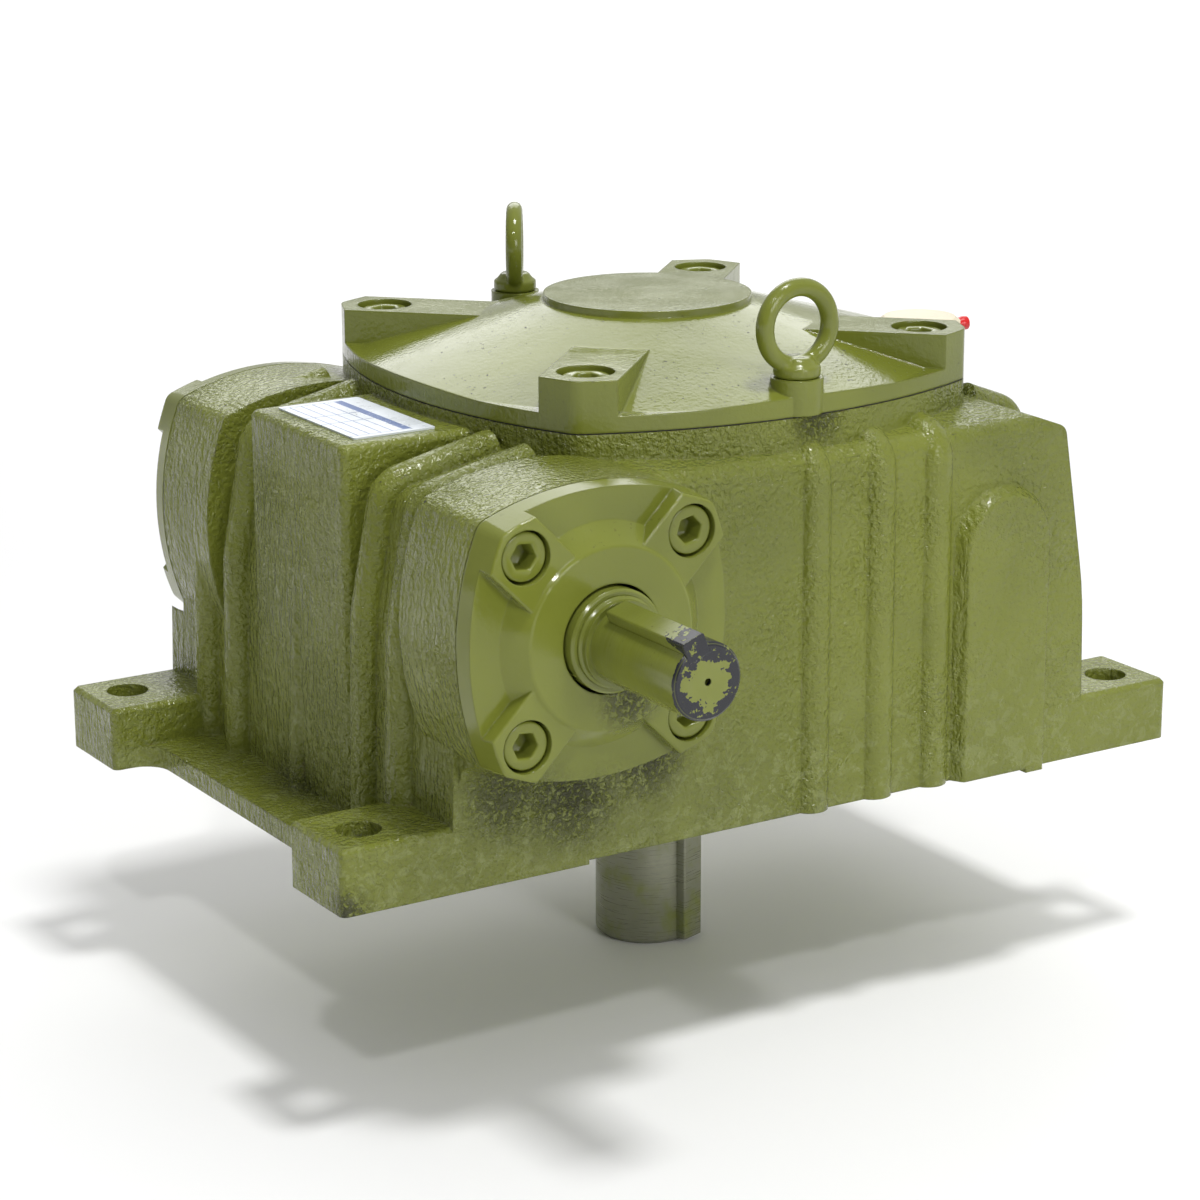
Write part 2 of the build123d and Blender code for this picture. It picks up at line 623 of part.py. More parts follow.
def to_back(shape, seat):
    """Turn a cover drawn outside-up so that it faces the back at its seat on the worm axis."""
    return worm_face_plane(seat, 1).location * shape


def front_bearing_start():
    """Distance from the wheel's centre line to the outer face of the front bearing's cup."""
    return FRONT_SEAT - 6.25


def rear_bearing_start():
    """Distance from the wheel's centre line to the outer face of the rear bearing's cup."""
    return REAR_SEAT - 6.25


def spigot(seat, cup_face):
    """The cover's spigot that enters the bearing bore and holds the cup."""
    return ring(WORM_BEARING[1] - 0.05, WORM_BEARING[1] - 5.0, cup_face - seat, 0)


def input_bearing_cover():
    """The open cover that the input shaft passes through."""
    seal_radius, seal_width = INPUT_SEAL
    cover = bearing_cover_blank(FRONT_COVER_HALF) + spigot(FRONT_SEAT, front_bearing_start())
    cover -= post(SEAL_LIP_RADIUS, 0, BEARING_HUB_HEIGHT)
    cover -= post(seal_radius, 0, seal_width + 1.0)
    return to_front(cover, FRONT_SEAT)


def rear_bearing_cover():
    """The closed cover at the worm's back end."""
    cover = bearing_cover_blank(REAR_COVER_HALF) + spigot(REAR_SEAT, rear_bearing_start())
    cover -= post(SHOULDER_RADIUS, 0, BEARING_HUB_HEIGHT - 6.0)
    return to_back(cover, REAR_SEAT)


def bearing_gasket(half):
    """The thin gasket under a bearing cover."""
    sheet = extrude(bearing_outline(half - 0.4), amount=GASKET)
    sheet -= post(WORM_BEARING[1], 0, GASKET)
    for x, y in bearing_screw_places():
        sheet -= Pos(x, y, 0) * post(SCREW_CLEARANCE_RADIUS, 0, GASKET)
    return sheet


def bearing_screws(place_cover, seat):
    """The four screws of one bearing cover."""
    screw = socket_screw(BEARING_SCREW_LENGTH)
    return [place_cover(Pos(x, y, bearing_head_floor()) * Rot(0, 0, 10 + 25 * n) * screw, seat)
            for n, (x, y) in enumerate(bearing_screw_places())]


def bearing_lines(bearing):
    """Mid radius, height of the cones' common apex, roller length and its two end radii."""
    mid_radius = (bearing[0] + bearing[1]) / 2
    reach = mid_radius / math.tan(math.radians(ROLLER_TILT))
    length = bearing[4] * ROLLER_SHARE
    slant = mid_radius / math.sin(math.radians(ROLLER_TILT))
    taper = math.tan(math.radians(CUP_ANGLE - ROLLER_TILT))
    return mid_radius, reach, length, (slant + length / 2) * taper, (slant - length / 2) * taper


def bearing_roller(bearing, spare):
    """One tapered roller, thin end up, grown all round by a spare; the bearing's middle is at Z 0."""
    mid_radius, reach, length, thick, thin = bearing_lines(bearing)
    roller = Cone(thick + spare, thin + spare, length + 2 * spare)
    return Location((mid_radius, 0, 0), (0, -ROLLER_TILT, 0)) * roller


def bearing_cup(bearing):
    """The outer ring: a cylinder outside, a cone inside that narrows upwards."""
    reach = bearing_lines(bearing)[1]
    outer = bearing[1]
    slope = math.tan(math.radians(CUP_ANGLE))
    top = bearing[2] / 2
    bottom = top - bearing[4]
    return turned([
        (outer, bottom), (outer, top),
        ((reach - top) * slope + ROLLER_CLEARANCE, top),
        ((reach - bottom) * slope + ROLLER_CLEARANCE, bottom),
    ])


def bearing_cone(bearing):
    """The inner ring with its raceway between a tall lower rib and a low upper rib."""
    reach, length, thick, thin = bearing_lines(bearing)[1:]
    bore = bearing[0]
    slope = math.tan(math.radians(CONE_ANGLE))
    tilt = math.radians(ROLLER_TILT)
    low = -length / 2 * math.cos(tilt) - thick * math.sin(tilt) - ROLLER_CLEARANCE
    high = length / 2 * math.cos(tilt) - thin * math.sin(tilt) + 4 * ROLLER_CLEARANCE
    bottom = -bearing[2] / 2
    top = bottom + bearing[3]
    low_radius = (reach - low) * slope - ROLLER_CLEARANCE
    high_radius = (reach - high) * slope - ROLLER_CLEARANCE
    return turned([
        (bore, bottom), (low_radius + LOWER_RIB, bottom), (low_radius + LOWER_RIB, low), (low_radius, low),
        (high_radius, high), (high_radius + UPPER_RIB, high), (high_radius + UPPER_RIB, top), (bore, top),
    ])


def bearing_rollers(bearing):
    """The set of loose rollers."""
    count = bearing[5]
    roller = bearing_roller(bearing, 0.0)
    return [Rot(0, 0, 360.0 * n / count) * roller for n in range(count)]


def bearing_cage(bearing):
    """The pressed cage: a thin conical shell with a pocket for each roller."""
    reach, length = bearing_lines(bearing)[1:3]
    slope = math.tan(math.radians(ROLLER_TILT))
    half = length / 2 + CAGE_BAND
    low = (reach + half) * slope + CAGE_OFFSET
    high = (reach - half) * slope + CAGE_OFFSET
    shell = turned([(low, -half), (low + CAGE_WALL, -half), (high + CAGE_WALL, half), (high, half)])
    pocket = bearing_roller(bearing, CAGE_CLEARANCE)
    count = bearing[5]
    for n in range(count):
        shell -= Rot(0, 0, 360.0 * n / count) * pocket
    return shell


def worm_bearing_place(front):
    """Where a worm bearing sits: the rollers' thin ends towards the nearer cover."""
    width = WORM_BEARING[2]
    if front:
        middle = -front_bearing_start() + width / 2
        return Location((WORM_X, middle, AXIS_HEIGHT), (-90, 0, 0)) * Rot(180, 0, 0)
    middle = rear_bearing_start() - width / 2
    return Location((WORM_X, middle, AXIS_HEIGHT), (-90, 0, 0))


def output_bearing_place(lower):
    """Where an output bearing sits: the rollers' thin ends away from the wheel."""
    width = OUTPUT_BEARING[2]
    if lower:
        return Pos(0, 0, LOWER_BEARING_FLOOR + width / 2) * Rot(180, 0, 0)
    return Pos(0, 0, UPPER_BEARING_TOP - width / 2)


def worm_thread():
    """The worm's helical threads, one sweep for each start, cut to length."""
    half_pitch = AXIAL_PITCH / 4 - WORM_THINNING / 2
    spread = math.tan(math.radians(PRESSURE_ANGLE))
    pitch_radius = WORM_PITCH_DIAMETER / 2
    base = WORM_ROOT - 0.8
    run = WORM_LENGTH + 2 * LEAD
    path = Helix(pitch=LEAD, height=run, radius=pitch_radius, center=(0, 0, -run / 2))
    foot_half = half_pitch + (pitch_radius - base) * spread
    tip_half = half_pitch - (WORM_TIP - pitch_radius) * spread
    start = -run / 2
    section = make_face(Polyline([
        (base, 0, start - foot_half), (WORM_TIP, 0, start - tip_half),
        (WORM_TIP, 0, start + tip_half), (base, 0, start + foot_half),
    ], close=True))
    thread = sweep(section, path=path, is_frenet=True)
    trim = post(WORM_TIP + 1.0, -WORM_LENGTH / 2, WORM_LENGTH / 2)
    starts = [Rot(0, 0, 360.0 * n / WORM_STARTS) * thread for n in range(WORM_STARTS)]
    whole_turns = run / 2 / LEAD
    phase = 360.0 * (whole_turns - math.floor(whole_turns))
    return [Rot(0, 0, -phase) * (one & trim) for one in starts]


def key_block(key, radius, end, spare_top):
    """A parallel key along +X of a shaft about Z, from one end height upwards."""
    width, height, depth, length = key
    low = (radius - depth, -width / 2, end)
    return block(low, (radius - depth + height + spare_top, width / 2, end + length))


def fitted_key(key, radius, end):
    """The key itself, its two upper long edges broken."""
    bar = key_block(key, radius, end, 0.0)
    edges = bar.faces().sort_by(Axis.X)[-1].edges().filter_by(Axis.Z)
    return chamfer(edges, KEY_EDGE)


def input_key_turn():
    """Turn of the input shaft about Z that brings its key up and to the left, seen from outside."""
    return Rot(0, 0, -90 - INPUT_KEY_TURN)


def driven_end():
    """The input shaft from its keyed end to the shoulder in front of the worm."""
    front_cone = -front_bearing_start() + WORM_BEARING[2]
    journal = WORM_BEARING[0]
    shoulder = -INPUT_END + INPUT_LENGTH
    shaft = turned([
        (0, -INPUT_END), (INPUT_RADIUS - SHAFT_CHAMFER, -INPUT_END), (INPUT_RADIUS, -INPUT_END + SHAFT_CHAMFER),
        (INPUT_RADIUS, shoulder), (COLLAR_RADIUS, shoulder), (COLLAR_RADIUS, shoulder + COLLAR_LENGTH),
        (journal, shoulder + COLLAR_LENGTH + 0.8), (journal, front_cone), (SHOULDER_RADIUS, front_cone),
        (SHOULDER_RADIUS, -WORM_LENGTH / 2 - WORM_RUNOUT), (0, -WORM_LENGTH / 2 - WORM_RUNOUT),
    ])
    shaft -= key_block(INPUT_KEY, INPUT_RADIUS, -INPUT_END, 2.0)
    shaft -= post(CENTRE_HOLE_RADIUS, -INPUT_END, -INPUT_END + CENTRE_HOLE_DEPTH)
    return input_key_turn() * shaft


def worm_end():
    """The worm itself and the rear journal."""
    rear_cone = rear_bearing_start() - WORM_BEARING[2]
    journal = WORM_BEARING[0]
    half = WORM_LENGTH / 2
    shaft = turned([
        (0, -half - WORM_RUNOUT), (SHOULDER_RADIUS, -half - WORM_RUNOUT), (WORM_ROOT, -half), (WORM_ROOT, half),
        (SHOULDER_RADIUS, half + WORM_RUNOUT), (SHOULDER_RADIUS, rear_cone), (journal, rear_cone),
        (journal, rear_bearing_start() + 1.0), (journal - SHAFT_CHAMFER, rear_bearing_start() + 2.0),
        (0, rear_bearing_start() + 2.0),
    ])
    for one in worm_thread():
        shaft += one
    return shaft


def worm_shaft():
    """The input shaft with the worm cut on it and a keyseat at the driven end."""
    return along_worm(driven_end() + worm_end())


def input_key():
    """The key in the input shaft."""
    return along_worm(input_key_turn() * fitted_key(INPUT_KEY, INPUT_RADIUS, -INPUT_END))


def input_sleeve():
    """The sleeve between the front bearing and the shaft's neck, which the seal runs on."""
    edge = 0.8
    outline = [
        (WORM_BEARING[0], -front_bearing_start()), (WORM_BEARING[0], -SLEEVE_END),
        (SLEEVE_RADIUS - edge, -SLEEVE_END), (SLEEVE_RADIUS, -SLEEVE_END + edge),
        (SLEEVE_RADIUS, -front_bearing_start()),
    ]
    return along_worm(turned(outline))


def tooth_section(turn):
    """The wheel's toothed outline, turned about its axis; each flank is an arc on its involute."""
    base = WHEEL_PITCH_RADIUS * math.cos(math.radians(PRESSURE_ANGLE))
    involute = math.tan(math.radians(PRESSURE_ANGLE)) - math.radians(PRESSURE_ANGLE)
    half_tooth = math.pi / (2 * WHEEL_TEETH) - WHEEL_THINNING / (4 * WHEEL_PITCH_RADIUS)

    def flank(radius):
        rolled = math.acos(min(1.0, base / radius))
        return half_tooth + involute - (math.tan(rolled) - rolled)

    low, middle, high = base + 0.05, WHEEL_PITCH_RADIUS - 0.6, WHEEL_TIP_RADIUS
    pitch = 2 * math.pi / WHEEL_TEETH

    def at(radius, angle):
        return (radius * math.cos(angle), radius * math.sin(angle))

    edges = []
    for n in range(WHEEL_TEETH):
        centre = math.pi + (n + 0.5) * pitch + turn
        before = [at(r, centre - flank(r)) for r in (low, middle, high)]
        after = [at(r, centre + flank(r)) for r in (high, middle, low)]
        root_start = at(WHEEL_ROOT, centre - flank(low))
        root_end = at(WHEEL_ROOT, centre + flank(low))
        next_root = at(WHEEL_ROOT, centre + pitch - flank(low))
        edges.append(Line(root_start, before[0]))
        edges.append(ThreePointArc(*before))
        edges.append(Line(before[2], after[0]))
        edges.append(ThreePointArc(*after))
        edges.append(Line(after[2], root_end))
        edges.append(Line(root_end, next_root))
    return make_face(Wire(edges))


def wheel_rim():
    """The bronze rim with its slanted, throated teeth."""
    half = WHEEL_WIDTH / 2
    slope = WORM_STARTS * MODULE / WORM_PITCH_DIAMETER
    levels = [-half, 0.0, half]
    sections = [Pos(0, 0, AXIS_HEIGHT + z) * tooth_section(z * slope / WHEEL_PITCH_RADIUS) for z in levels]
    teeth = loft(sections, ruled=True)
    throat = WORM_ROOT + ROOT_CLEARANCE * 0.6
    lip = CENTRE_DISTANCE - math.sqrt(throat ** 2 - (half * 0.62) ** 2)
    edge_z = half * 0.62
    outline = [
        Line((RIM_BORE_RADIUS, 0, -half), (WHEEL_TIP_RADIUS - 2.0, 0, -half)),
        Line((WHEEL_TIP_RADIUS - 2.0, 0, -half), (WHEEL_TIP_RADIUS, 0, -half + 2.0)),
        Line((WHEEL_TIP_RADIUS, 0, -half + 2.0), (WHEEL_TIP_RADIUS, 0, -edge_z)),
        ThreePointArc(
            (WHEEL_TIP_RADIUS, 0, -edge_z), (CENTRE_DISTANCE - throat, 0, 0), (WHEEL_TIP_RADIUS, 0, edge_z)),
        Line((WHEEL_TIP_RADIUS, 0, edge_z), (WHEEL_TIP_RADIUS, 0, half - 2.0)),
        Line((WHEEL_TIP_RADIUS, 0, half - 2.0), (WHEEL_TIP_RADIUS - 2.0, 0, half)),
        Line((WHEEL_TIP_RADIUS - 2.0, 0, half), (RIM_BORE_RADIUS, 0, half)),
        Line((RIM_BORE_RADIUS, 0, half), (RIM_BORE_RADIUS, 0, -half)),
    ]
    blank = Pos(0, 0, AXIS_HEIGHT) * revolve(make_face(Wire(outline)), Axis.Z, 360)
    rim = teeth & blank
    for hole in rim_screws():
        rim -= hole
    return rim


def rim_screws():
    """Headless screws set along the joint between rim and hub."""
    top = AXIS_HEIGHT + WHEEL_WIDTH / 2
    pin = Pos(RIM_BORE_RADIUS, 0, 0) * post(RIM_SCREW_RADIUS, top - RIM_SCREW_LENGTH, top)
    return [Rot(0, 0, 360.0 * n / RIM_SCREW_COUNT) * pin for n in range(RIM_SCREW_COUNT)]


def wheel_hub():
    """The cast centre of the wheel: hub, web and the band that carries the rim."""
    half_hub, half_web, half_rim = HUB_LENGTH / 2, HUB_WEB / 2, WHEEL_WIDTH / 2
    band = RIM_BORE_RADIUS - 10.0
    hub = turned([
        (WHEEL_SEAT_RADIUS, -half_hub), (HUB_RADIUS, -half_hub), (HUB_RADIUS, -half_web), (band, -half_web),
        (band, -half_rim), (RIM_BORE_RADIUS, -half_rim), (RIM_BORE_RADIUS, half_rim), (band, half_rim),
        (band, half_web), (HUB_RADIUS, half_web), (HUB_RADIUS, half_hub), (WHEEL_SEAT_RADIUS, half_hub),
    ])
    hub = Pos(0, 0, AXIS_HEIGHT) * hub
    for hole in rim_screws():
        hub -= hole
    slot_top = WHEEL_SEAT_RADIUS - WHEEL_KEY_SINK + WHEEL_KEY_HEIGHT
    low = (-WHEEL_KEY_WIDTH / 2, 0, AXIS_HEIGHT - half_hub)
    high = (WHEEL_KEY_WIDTH / 2, slot_top, AXIS_HEIGHT + half_hub)
    return hub - block(low, high)


def wheel_key():
    """The flat key between the wheel's hub and the output shaft."""
    low = (-WHEEL_KEY_WIDTH / 2, WHEEL_SEAT_RADIUS - WHEEL_KEY_SINK, AXIS_HEIGHT - WHEEL_KEY_LENGTH / 2)
    high = (WHEEL_KEY_WIDTH / 2, low[1] + WHEEL_KEY_HEIGHT, AXIS_HEIGHT + WHEEL_KEY_LENGTH / 2)
    return block(low, high)


def output_shaft():
    """The stepped output shaft, keyed at the bottom."""
    bore = OUTPUT_BEARING[0]
    hub_bottom = AXIS_HEIGHT - HUB_LENGTH / 2
    seal_start = RELIEF_DEPTH - 1.0
    shaft = turned([
        (0, -OUTPUT_LENGTH), (OUTPUT_RADIUS - OUTPUT_CHAMFER, -OUTPUT_LENGTH),
        (OUTPUT_RADIUS, -OUTPUT_LENGTH + OUTPUT_CHAMFER),
        (OUTPUT_RADIUS, seal_start), (bore, seal_start), (bore, lower_bearing_top()),
        (OUTPUT_SHOULDER_RADIUS, lower_bearing_top()), (OUTPUT_SHOULDER_RADIUS, hub_bottom),
        (WHEEL_SEAT_RADIUS, hub_bottom), (WHEEL_SEAT_RADIUS, AXIS_HEIGHT + HUB_LENGTH / 2),
        (bore, AXIS_HEIGHT + HUB_LENGTH / 2), (bore, UPPER_JOURNAL_TOP - 1.5), (bore - 1.5, UPPER_JOURNAL_TOP),
        (0, UPPER_JOURNAL_TOP),
    ])
    shaft -= key_block(OUTPUT_KEY, OUTPUT_RADIUS, -OUTPUT_LENGTH + OUTPUT_CHAMFER, 2.0)
    return output_key_turn() * shaft - wheel_key()


def output_key_turn():
    """Turn of the output shaft about Z that brings its key to the front and a little right."""
    return Rot(0, 0, -90 + OUTPUT_KEY_TURN)


def output_key():
    """The key in the output shaft."""
    return output_key_turn() * fitted_key(OUTPUT_KEY, OUTPUT_RADIUS, -OUTPUT_LENGTH + OUTPUT_CHAMFER)


def output_spacer():
    """The sleeve between the wheel's hub and the upper bearing."""
    upper_cone = UPPER_BEARING_TOP - OUTPUT_BEARING[2]
    return ring(SPACER_RADIUS, OUTPUT_BEARING[0], AXIS_HEIGHT + HUB_LENGTH / 2, upper_cone)


def oil_seal(shaft_radius, outer_radius, width):
    """A lip seal from Z 0 up: metal-backed ring, lip and garter groove."""
    lip = shaft_radius + SHAFT_CLEARANCE
    return turned([
        (outer_radius, 0), (outer_radius, width), (outer_radius - SEAL_SHELL, width),
        (outer_radius - SEAL_SHELL, 2.0), (lip + 3.0, 2.0), (lip + 3.0, width - 1.0), (lip + 0.8, width - 1.0),
        (lip, width - 2.5), (lip + 1.0, 1.6), (lip + 1.0, 0),
    ])


def input_oil_seal():
    """The seal in the input cover."""
    seal_radius, seal_width = INPUT_SEAL
    seal = Pos(0, 0, seal_width + 1.0) * (Rot(180, 0, 0) * oil_seal(SLEEVE_RADIUS, seal_radius, seal_width))
    return to_front(seal, FRONT_SEAT)


def output_oil_seal():
    """The seal under the lower bearing."""
    seal_radius, seal_width = OUTPUT_SEAL
    return Pos(0, 0, RELIEF_DEPTH + 1.5) * oil_seal(OUTPUT_BEARING[0], seal_radius, seal_width)


def eye_bolt():
    """A lifting eye bolt standing on Z 0, its ring across the Y axis."""
    ring_radius = EYE_INNER_RADIUS + EYE_BAR_RADIUS
    eye = Location((0, 0, EYE_CENTRE_HEIGHT), (90, 0, 0)) * Torus(ring_radius, EYE_BAR_RADIUS)
    collar = turned([
        (0, 0), (EYE_COLLAR_RADIUS - 0.6, 0), (EYE_COLLAR_RADIUS, 0.6), (EYE_COLLAR_RADIUS, EYE_COLLAR_HEIGHT - 1.2),
        (EYE_COLLAR_RADIUS - 2.6, EYE_COLLAR_HEIGHT + 0.4), (0, EYE_COLLAR_HEIGHT + 0.4),
    ])
    finger_room = Location((0, 0, EYE_CENTRE_HEIGHT), (90, 0, 0)) * Cylinder(EYE_INNER_RADIUS, 2 * EYE_COLLAR_RADIUS)
    collar -= finger_room
    return eye + collar + post(EYE_THREAD_RADIUS, -EYE_THREAD_LENGTH, 0)


def breather_body():
    """The threaded foot, hexagon and neck of the breather."""
    hexagon = extrude(RegularPolygon(BREATHER_HEX / 2, 6, major_radius=False), amount=BREATHER_HEX_HEIGHT)
    body = Pos(0, 0, BREATHER_BOSS_TOP) * hexagon
    cap_floor = CAP_TOP - CAP_HEIGHT
    body += post(BREATHER_NECK_RADIUS, BREATHER_BOSS_TOP, cap_floor + 2.0)
    body += post(BREATHER_THREAD_RADIUS, BREATHER_BOSS_TOP - 12.0, BREATHER_BOSS_TOP)
    body -= post(2.5, BREATHER_BOSS_TOP - 12.0, cap_floor + 2.0)
    return Pos(BREATHER_REACH, 0, 0) * body


def breather_cap():
    """The moulded cap with its domed edge and the bore for the transit pin."""
    floor = CAP_TOP - CAP_HEIGHT
    cap = turned([
        (0, floor), (CAP_RADIUS - 1.0, floor), (CAP_RADIUS, floor + 1.0), (CAP_RADIUS, CAP_TOP - 2.0),
        (CAP_RADIUS - 2.0, CAP_TOP - 0.4), (CAP_RADIUS - 4.0, CAP_TOP), (0, CAP_TOP),
    ])
    cap -= post(BREATHER_NECK_RADIUS, floor, floor + 2.0)
    pin_bore = Location((0, 0, PIN_HEIGHT), (0, 90, 0)) * post(PIN_RADIUS + 0.1, 4.0, CAP_RADIUS + 1.0)
    return Pos(BREATHER_REACH, 0, 0) * (cap - pin_bore)


def breather_pin():
    """The red pin that closes the breather in transit and is pulled out sideways."""
    pin = turned([
        (0, 4.2), (PIN_RADIUS, 4.2), (PIN_RADIUS, CAP_RADIUS + 0.4), (PIN_HEAD_RADIUS * 0.7, CAP_RADIUS + 0.4),
        (PIN_HEAD_RADIUS * 0.8, CAP_RADIUS + 3.0), (PIN_HEAD_RADIUS, PIN_REACH - 2.0), (PIN_HEAD_RADIUS, PIN_REACH),
        (0, PIN_REACH),
    ])
    return Pos(BREATHER_REACH, 0, 0) * (Location((0, 0, PIN_HEIGHT), (0, 90, 0)) * pin)


def drain_plug():
    """The hexagon-headed drain plug."""
    head = Pos(0, 0, PLUG_WASHER) * extrude(RegularPolygon(PLUG_HEX / 2, 6, major_radius=False), amount=PLUG_HEX_HEIGHT)
    plug = head + post(PLUG_THREAD_RADIUS, -13.0, PLUG_WASHER)
    return end_axis(PLUG_HEIGHT) * plug


def drain_washer():
    """The sealing washer under the drain plug."""
    return end_axis(PLUG_HEIGHT) * ring(PLUG_HEX / 2 + 1.5, PLUG_THREAD_RADIUS, 0, PLUG_WASHER)


def oil_glass_ring():
    """The metal ring that holds the oil level glass."""
    body = ring(GLASS_RING_RADIUS, GLASS_RADIUS - 3.0, 0, GLASS_RING_HEIGHT)
    body = chamfer(body.faces().sort_by(Axis.Z)[-1].edges().sort_by(SortBy.LENGTH)[-1], 1.2)
    body += ring(GLASS_RADIUS, GLASS_RADIUS - 3.0, -8.0, 0)
    return end_axis(GLASS_HEIGHT) * body


def oil_glass():
    """The clear window of the oil level glass."""
    return end_axis(GLASS_HEIGHT) * post(GLASS_RADIUS - 3.0, -8.0, GLASS_RING_HEIGHT - 1.5)


def plate():
    """The thin rating plate, left bare."""
    sheet = extrude(RectangleRounded(PLATE_WIDTH, PLATE_LENGTH, 1.0), amount=PLATE_THICKNESS)
    return Pos(PLATE_X, PLATE_Y, BLOCK_TOP) * sheet


def bearing_nodes(name, bearing, place):
    """The four nodes of one tapered roller bearing, at its place."""
    return {
        name + "_cup": place * bearing_cup(bearing),
        name + "_cone": place * bearing_cone(bearing),
        name + "_rollers": [place * roller for roller in bearing_rollers(bearing)],
        name + "_cage": place * bearing_cage(bearing),
    }


def build():
    """Every node of the reducer by name."""
    eye = eye_bolt()
    nodes = {
        "housing": housing(),
        "top_cover": top_cover(),
        "top_cover_gasket": top_cover_gasket(),
        "top_cover_screws": cover_screws(),
        "front_eye_bolt": Pos(0, -EYE_OFFSET, EYE_BOSS_TOP) * eye,
        "rear_eye_bolt": Pos(0, EYE_OFFSET, EYE_BOSS_TOP) * Rot(0, 0, REAR_EYE_TURN) * eye,
        "input_bearing_cover": input_bearing_cover(),
        "input_cover_gasket": to_front(bearing_gasket(FRONT_COVER_HALF), FRONT_BOSS_FACE),
        "input_cover_screws": bearing_screws(to_front, FRONT_SEAT),
        "input_oil_seal": input_oil_seal(),
        "rear_bearing_cover": rear_bearing_cover(),
        "rear_cover_gasket": to_back(bearing_gasket(REAR_COVER_HALF), REAR_BOSS_FACE),
        "rear_cover_screws": bearing_screws(to_back, REAR_SEAT),
        "worm_shaft": worm_shaft(),
        "input_key": input_key(),
        "input_sleeve": input_sleeve(),
        "wheel_rim": wheel_rim(),
        "wheel_rim_screws": rim_screws(),
        "wheel_hub": wheel_hub(),
        "wheel_key": wheel_key(),
        "output_shaft": output_shaft(),
        "output_key": output_key(),
        "output_spacer": output_spacer(),
        "output_oil_seal": output_oil_seal(),
        "rating_plate": plate(),
        "breather_body": breather_body(),
        "breather_cap": breather_cap(),
        "breather_pin": breather_pin(),
        "drain_plug": drain_plug(),
        "drain_washer": drain_washer(),
        "oil_glass_ring": oil_glass_ring(),
        "oil_glass": oil_glass(),
    }
    nodes.update(bearing_nodes("worm_front_bearing", WORM_BEARING, worm_bearing_place(True)))
    nodes.update(bearing_nodes("worm_rear_bearing", WORM_BEARING, worm_bearing_place(False)))
    nodes.update(bearing_nodes("output_lower_bearing", OUTPUT_BEARING, output_bearing_place(True)))
    nodes.update(bearing_nodes("output_upper_bearing", OUTPUT_BEARING, output_bearing_place(False)))
    return nodes


def write(nodes):
    """Write one STEP file for each node."""
    os.makedirs("parts", exist_ok=True)
    for name, shape in nodes.items():
        solids = shape if isinstance(shape, list) else [shape]
        flat = [solid for one in solids for solid in one.solids()]
        export_step(Compound(children=flat) if len(flat) > 1 else flat[0], "parts/" + name + ".step")


write(build())
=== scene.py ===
"""A worm gear reducer in thick olive paint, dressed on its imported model.

Lengths are in metres. The origin is on the output shaft's axis, level with the
underside of the feet; the input shaft points to -Y and the output shaft to -Z.
"""
import logging
import math
from dataclasses import dataclass
from enum import Enum

import bmesh
import bpy
from mathutils import Matrix, Vector


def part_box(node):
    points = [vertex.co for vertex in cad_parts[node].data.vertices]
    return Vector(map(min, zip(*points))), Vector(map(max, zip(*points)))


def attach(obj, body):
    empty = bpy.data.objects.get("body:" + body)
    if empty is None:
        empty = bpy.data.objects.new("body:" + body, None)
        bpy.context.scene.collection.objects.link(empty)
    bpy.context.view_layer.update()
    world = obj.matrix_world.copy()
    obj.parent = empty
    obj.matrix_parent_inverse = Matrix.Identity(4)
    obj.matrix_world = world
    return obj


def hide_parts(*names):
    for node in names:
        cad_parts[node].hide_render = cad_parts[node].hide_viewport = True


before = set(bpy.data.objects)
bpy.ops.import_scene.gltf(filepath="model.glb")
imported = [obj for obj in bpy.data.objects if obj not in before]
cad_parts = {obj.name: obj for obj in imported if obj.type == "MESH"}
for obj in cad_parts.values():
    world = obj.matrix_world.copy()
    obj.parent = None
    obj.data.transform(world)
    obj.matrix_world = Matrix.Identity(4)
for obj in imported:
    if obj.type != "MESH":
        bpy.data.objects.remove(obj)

LOG = logging.getLogger("gear_reducer")
Colour = tuple[float, float, float]
Point = tuple[float, float, float]
Box = tuple[Vector, Vector]


def srgb(red: int, green: int, blue: int) -> Colour:
    """Turn a colour of 0 to 255 in each channel into the linear values that shaders read.

    Args:
        red: Red channel.
        green: Green channel.
        blue: Blue channel.

    Returns:
        The same colour, linear.
    """
    def channel(value: int) -> float:
        """Return one channel's linear value."""
        part = value / 255
        return part / 12.92 if part <= 0.04045 else ((part + 0.055) / 1.055) ** 2.4

    return channel(red), channel(green), channel(blue)


OLIVE = srgb(116, 123, 47)
OLIVE_DEEP = srgb(102, 109, 40)
OLIVE_DRY = srgb(132, 139, 84)
# Near-black for specks of dirt, and for painted shade below the input flange and under the shaft.
DIRT_AND_SHADE = srgb(30, 28, 18)
RUST = srgb(96, 52, 26)
BARE_IRON = srgb(128, 122, 104)
BLACK_PAINT = srgb(30, 31, 37)
STEEL = srgb(150, 150, 138)
WORM_AXIS_X = -0.1
WORM_AXIS_Z = 0.0866
INPUT_END_Y = -0.188
WEAR_RADIUS = 0.001
LATHE_LINES = 2600.0
CREASE_ANGLE = 35.0
SAME_POINT = 1e-6
HEAD_SIDES = 40
SOCKET_SIDES = 6
SHANK_SIDES = 24

# Centre and reach of each spot of dirt and painted shade: three below the input flange, one under the shaft,
# the front foot's end, the seam under the front eye bolt, and the web between the feet. The spots below the
# flange and under the shaft stand in for the shade that falls there.
DIRT_AND_SHADE_SPOTS = (
    ((-0.122, -0.113, 0.031), 0.026),
    ((-0.096, -0.108, 0.028), 0.030),
    ((-0.068, -0.106, 0.036), 0.026),
    ((-0.093, -0.1375, 0.066), 0.017),
    ((-0.181, -0.106, 0.0), 0.014),
    ((0.004, -0.094, 0.1385), 0.016),
    ((-0.13, 0.0, 0.004), 0.030),
)


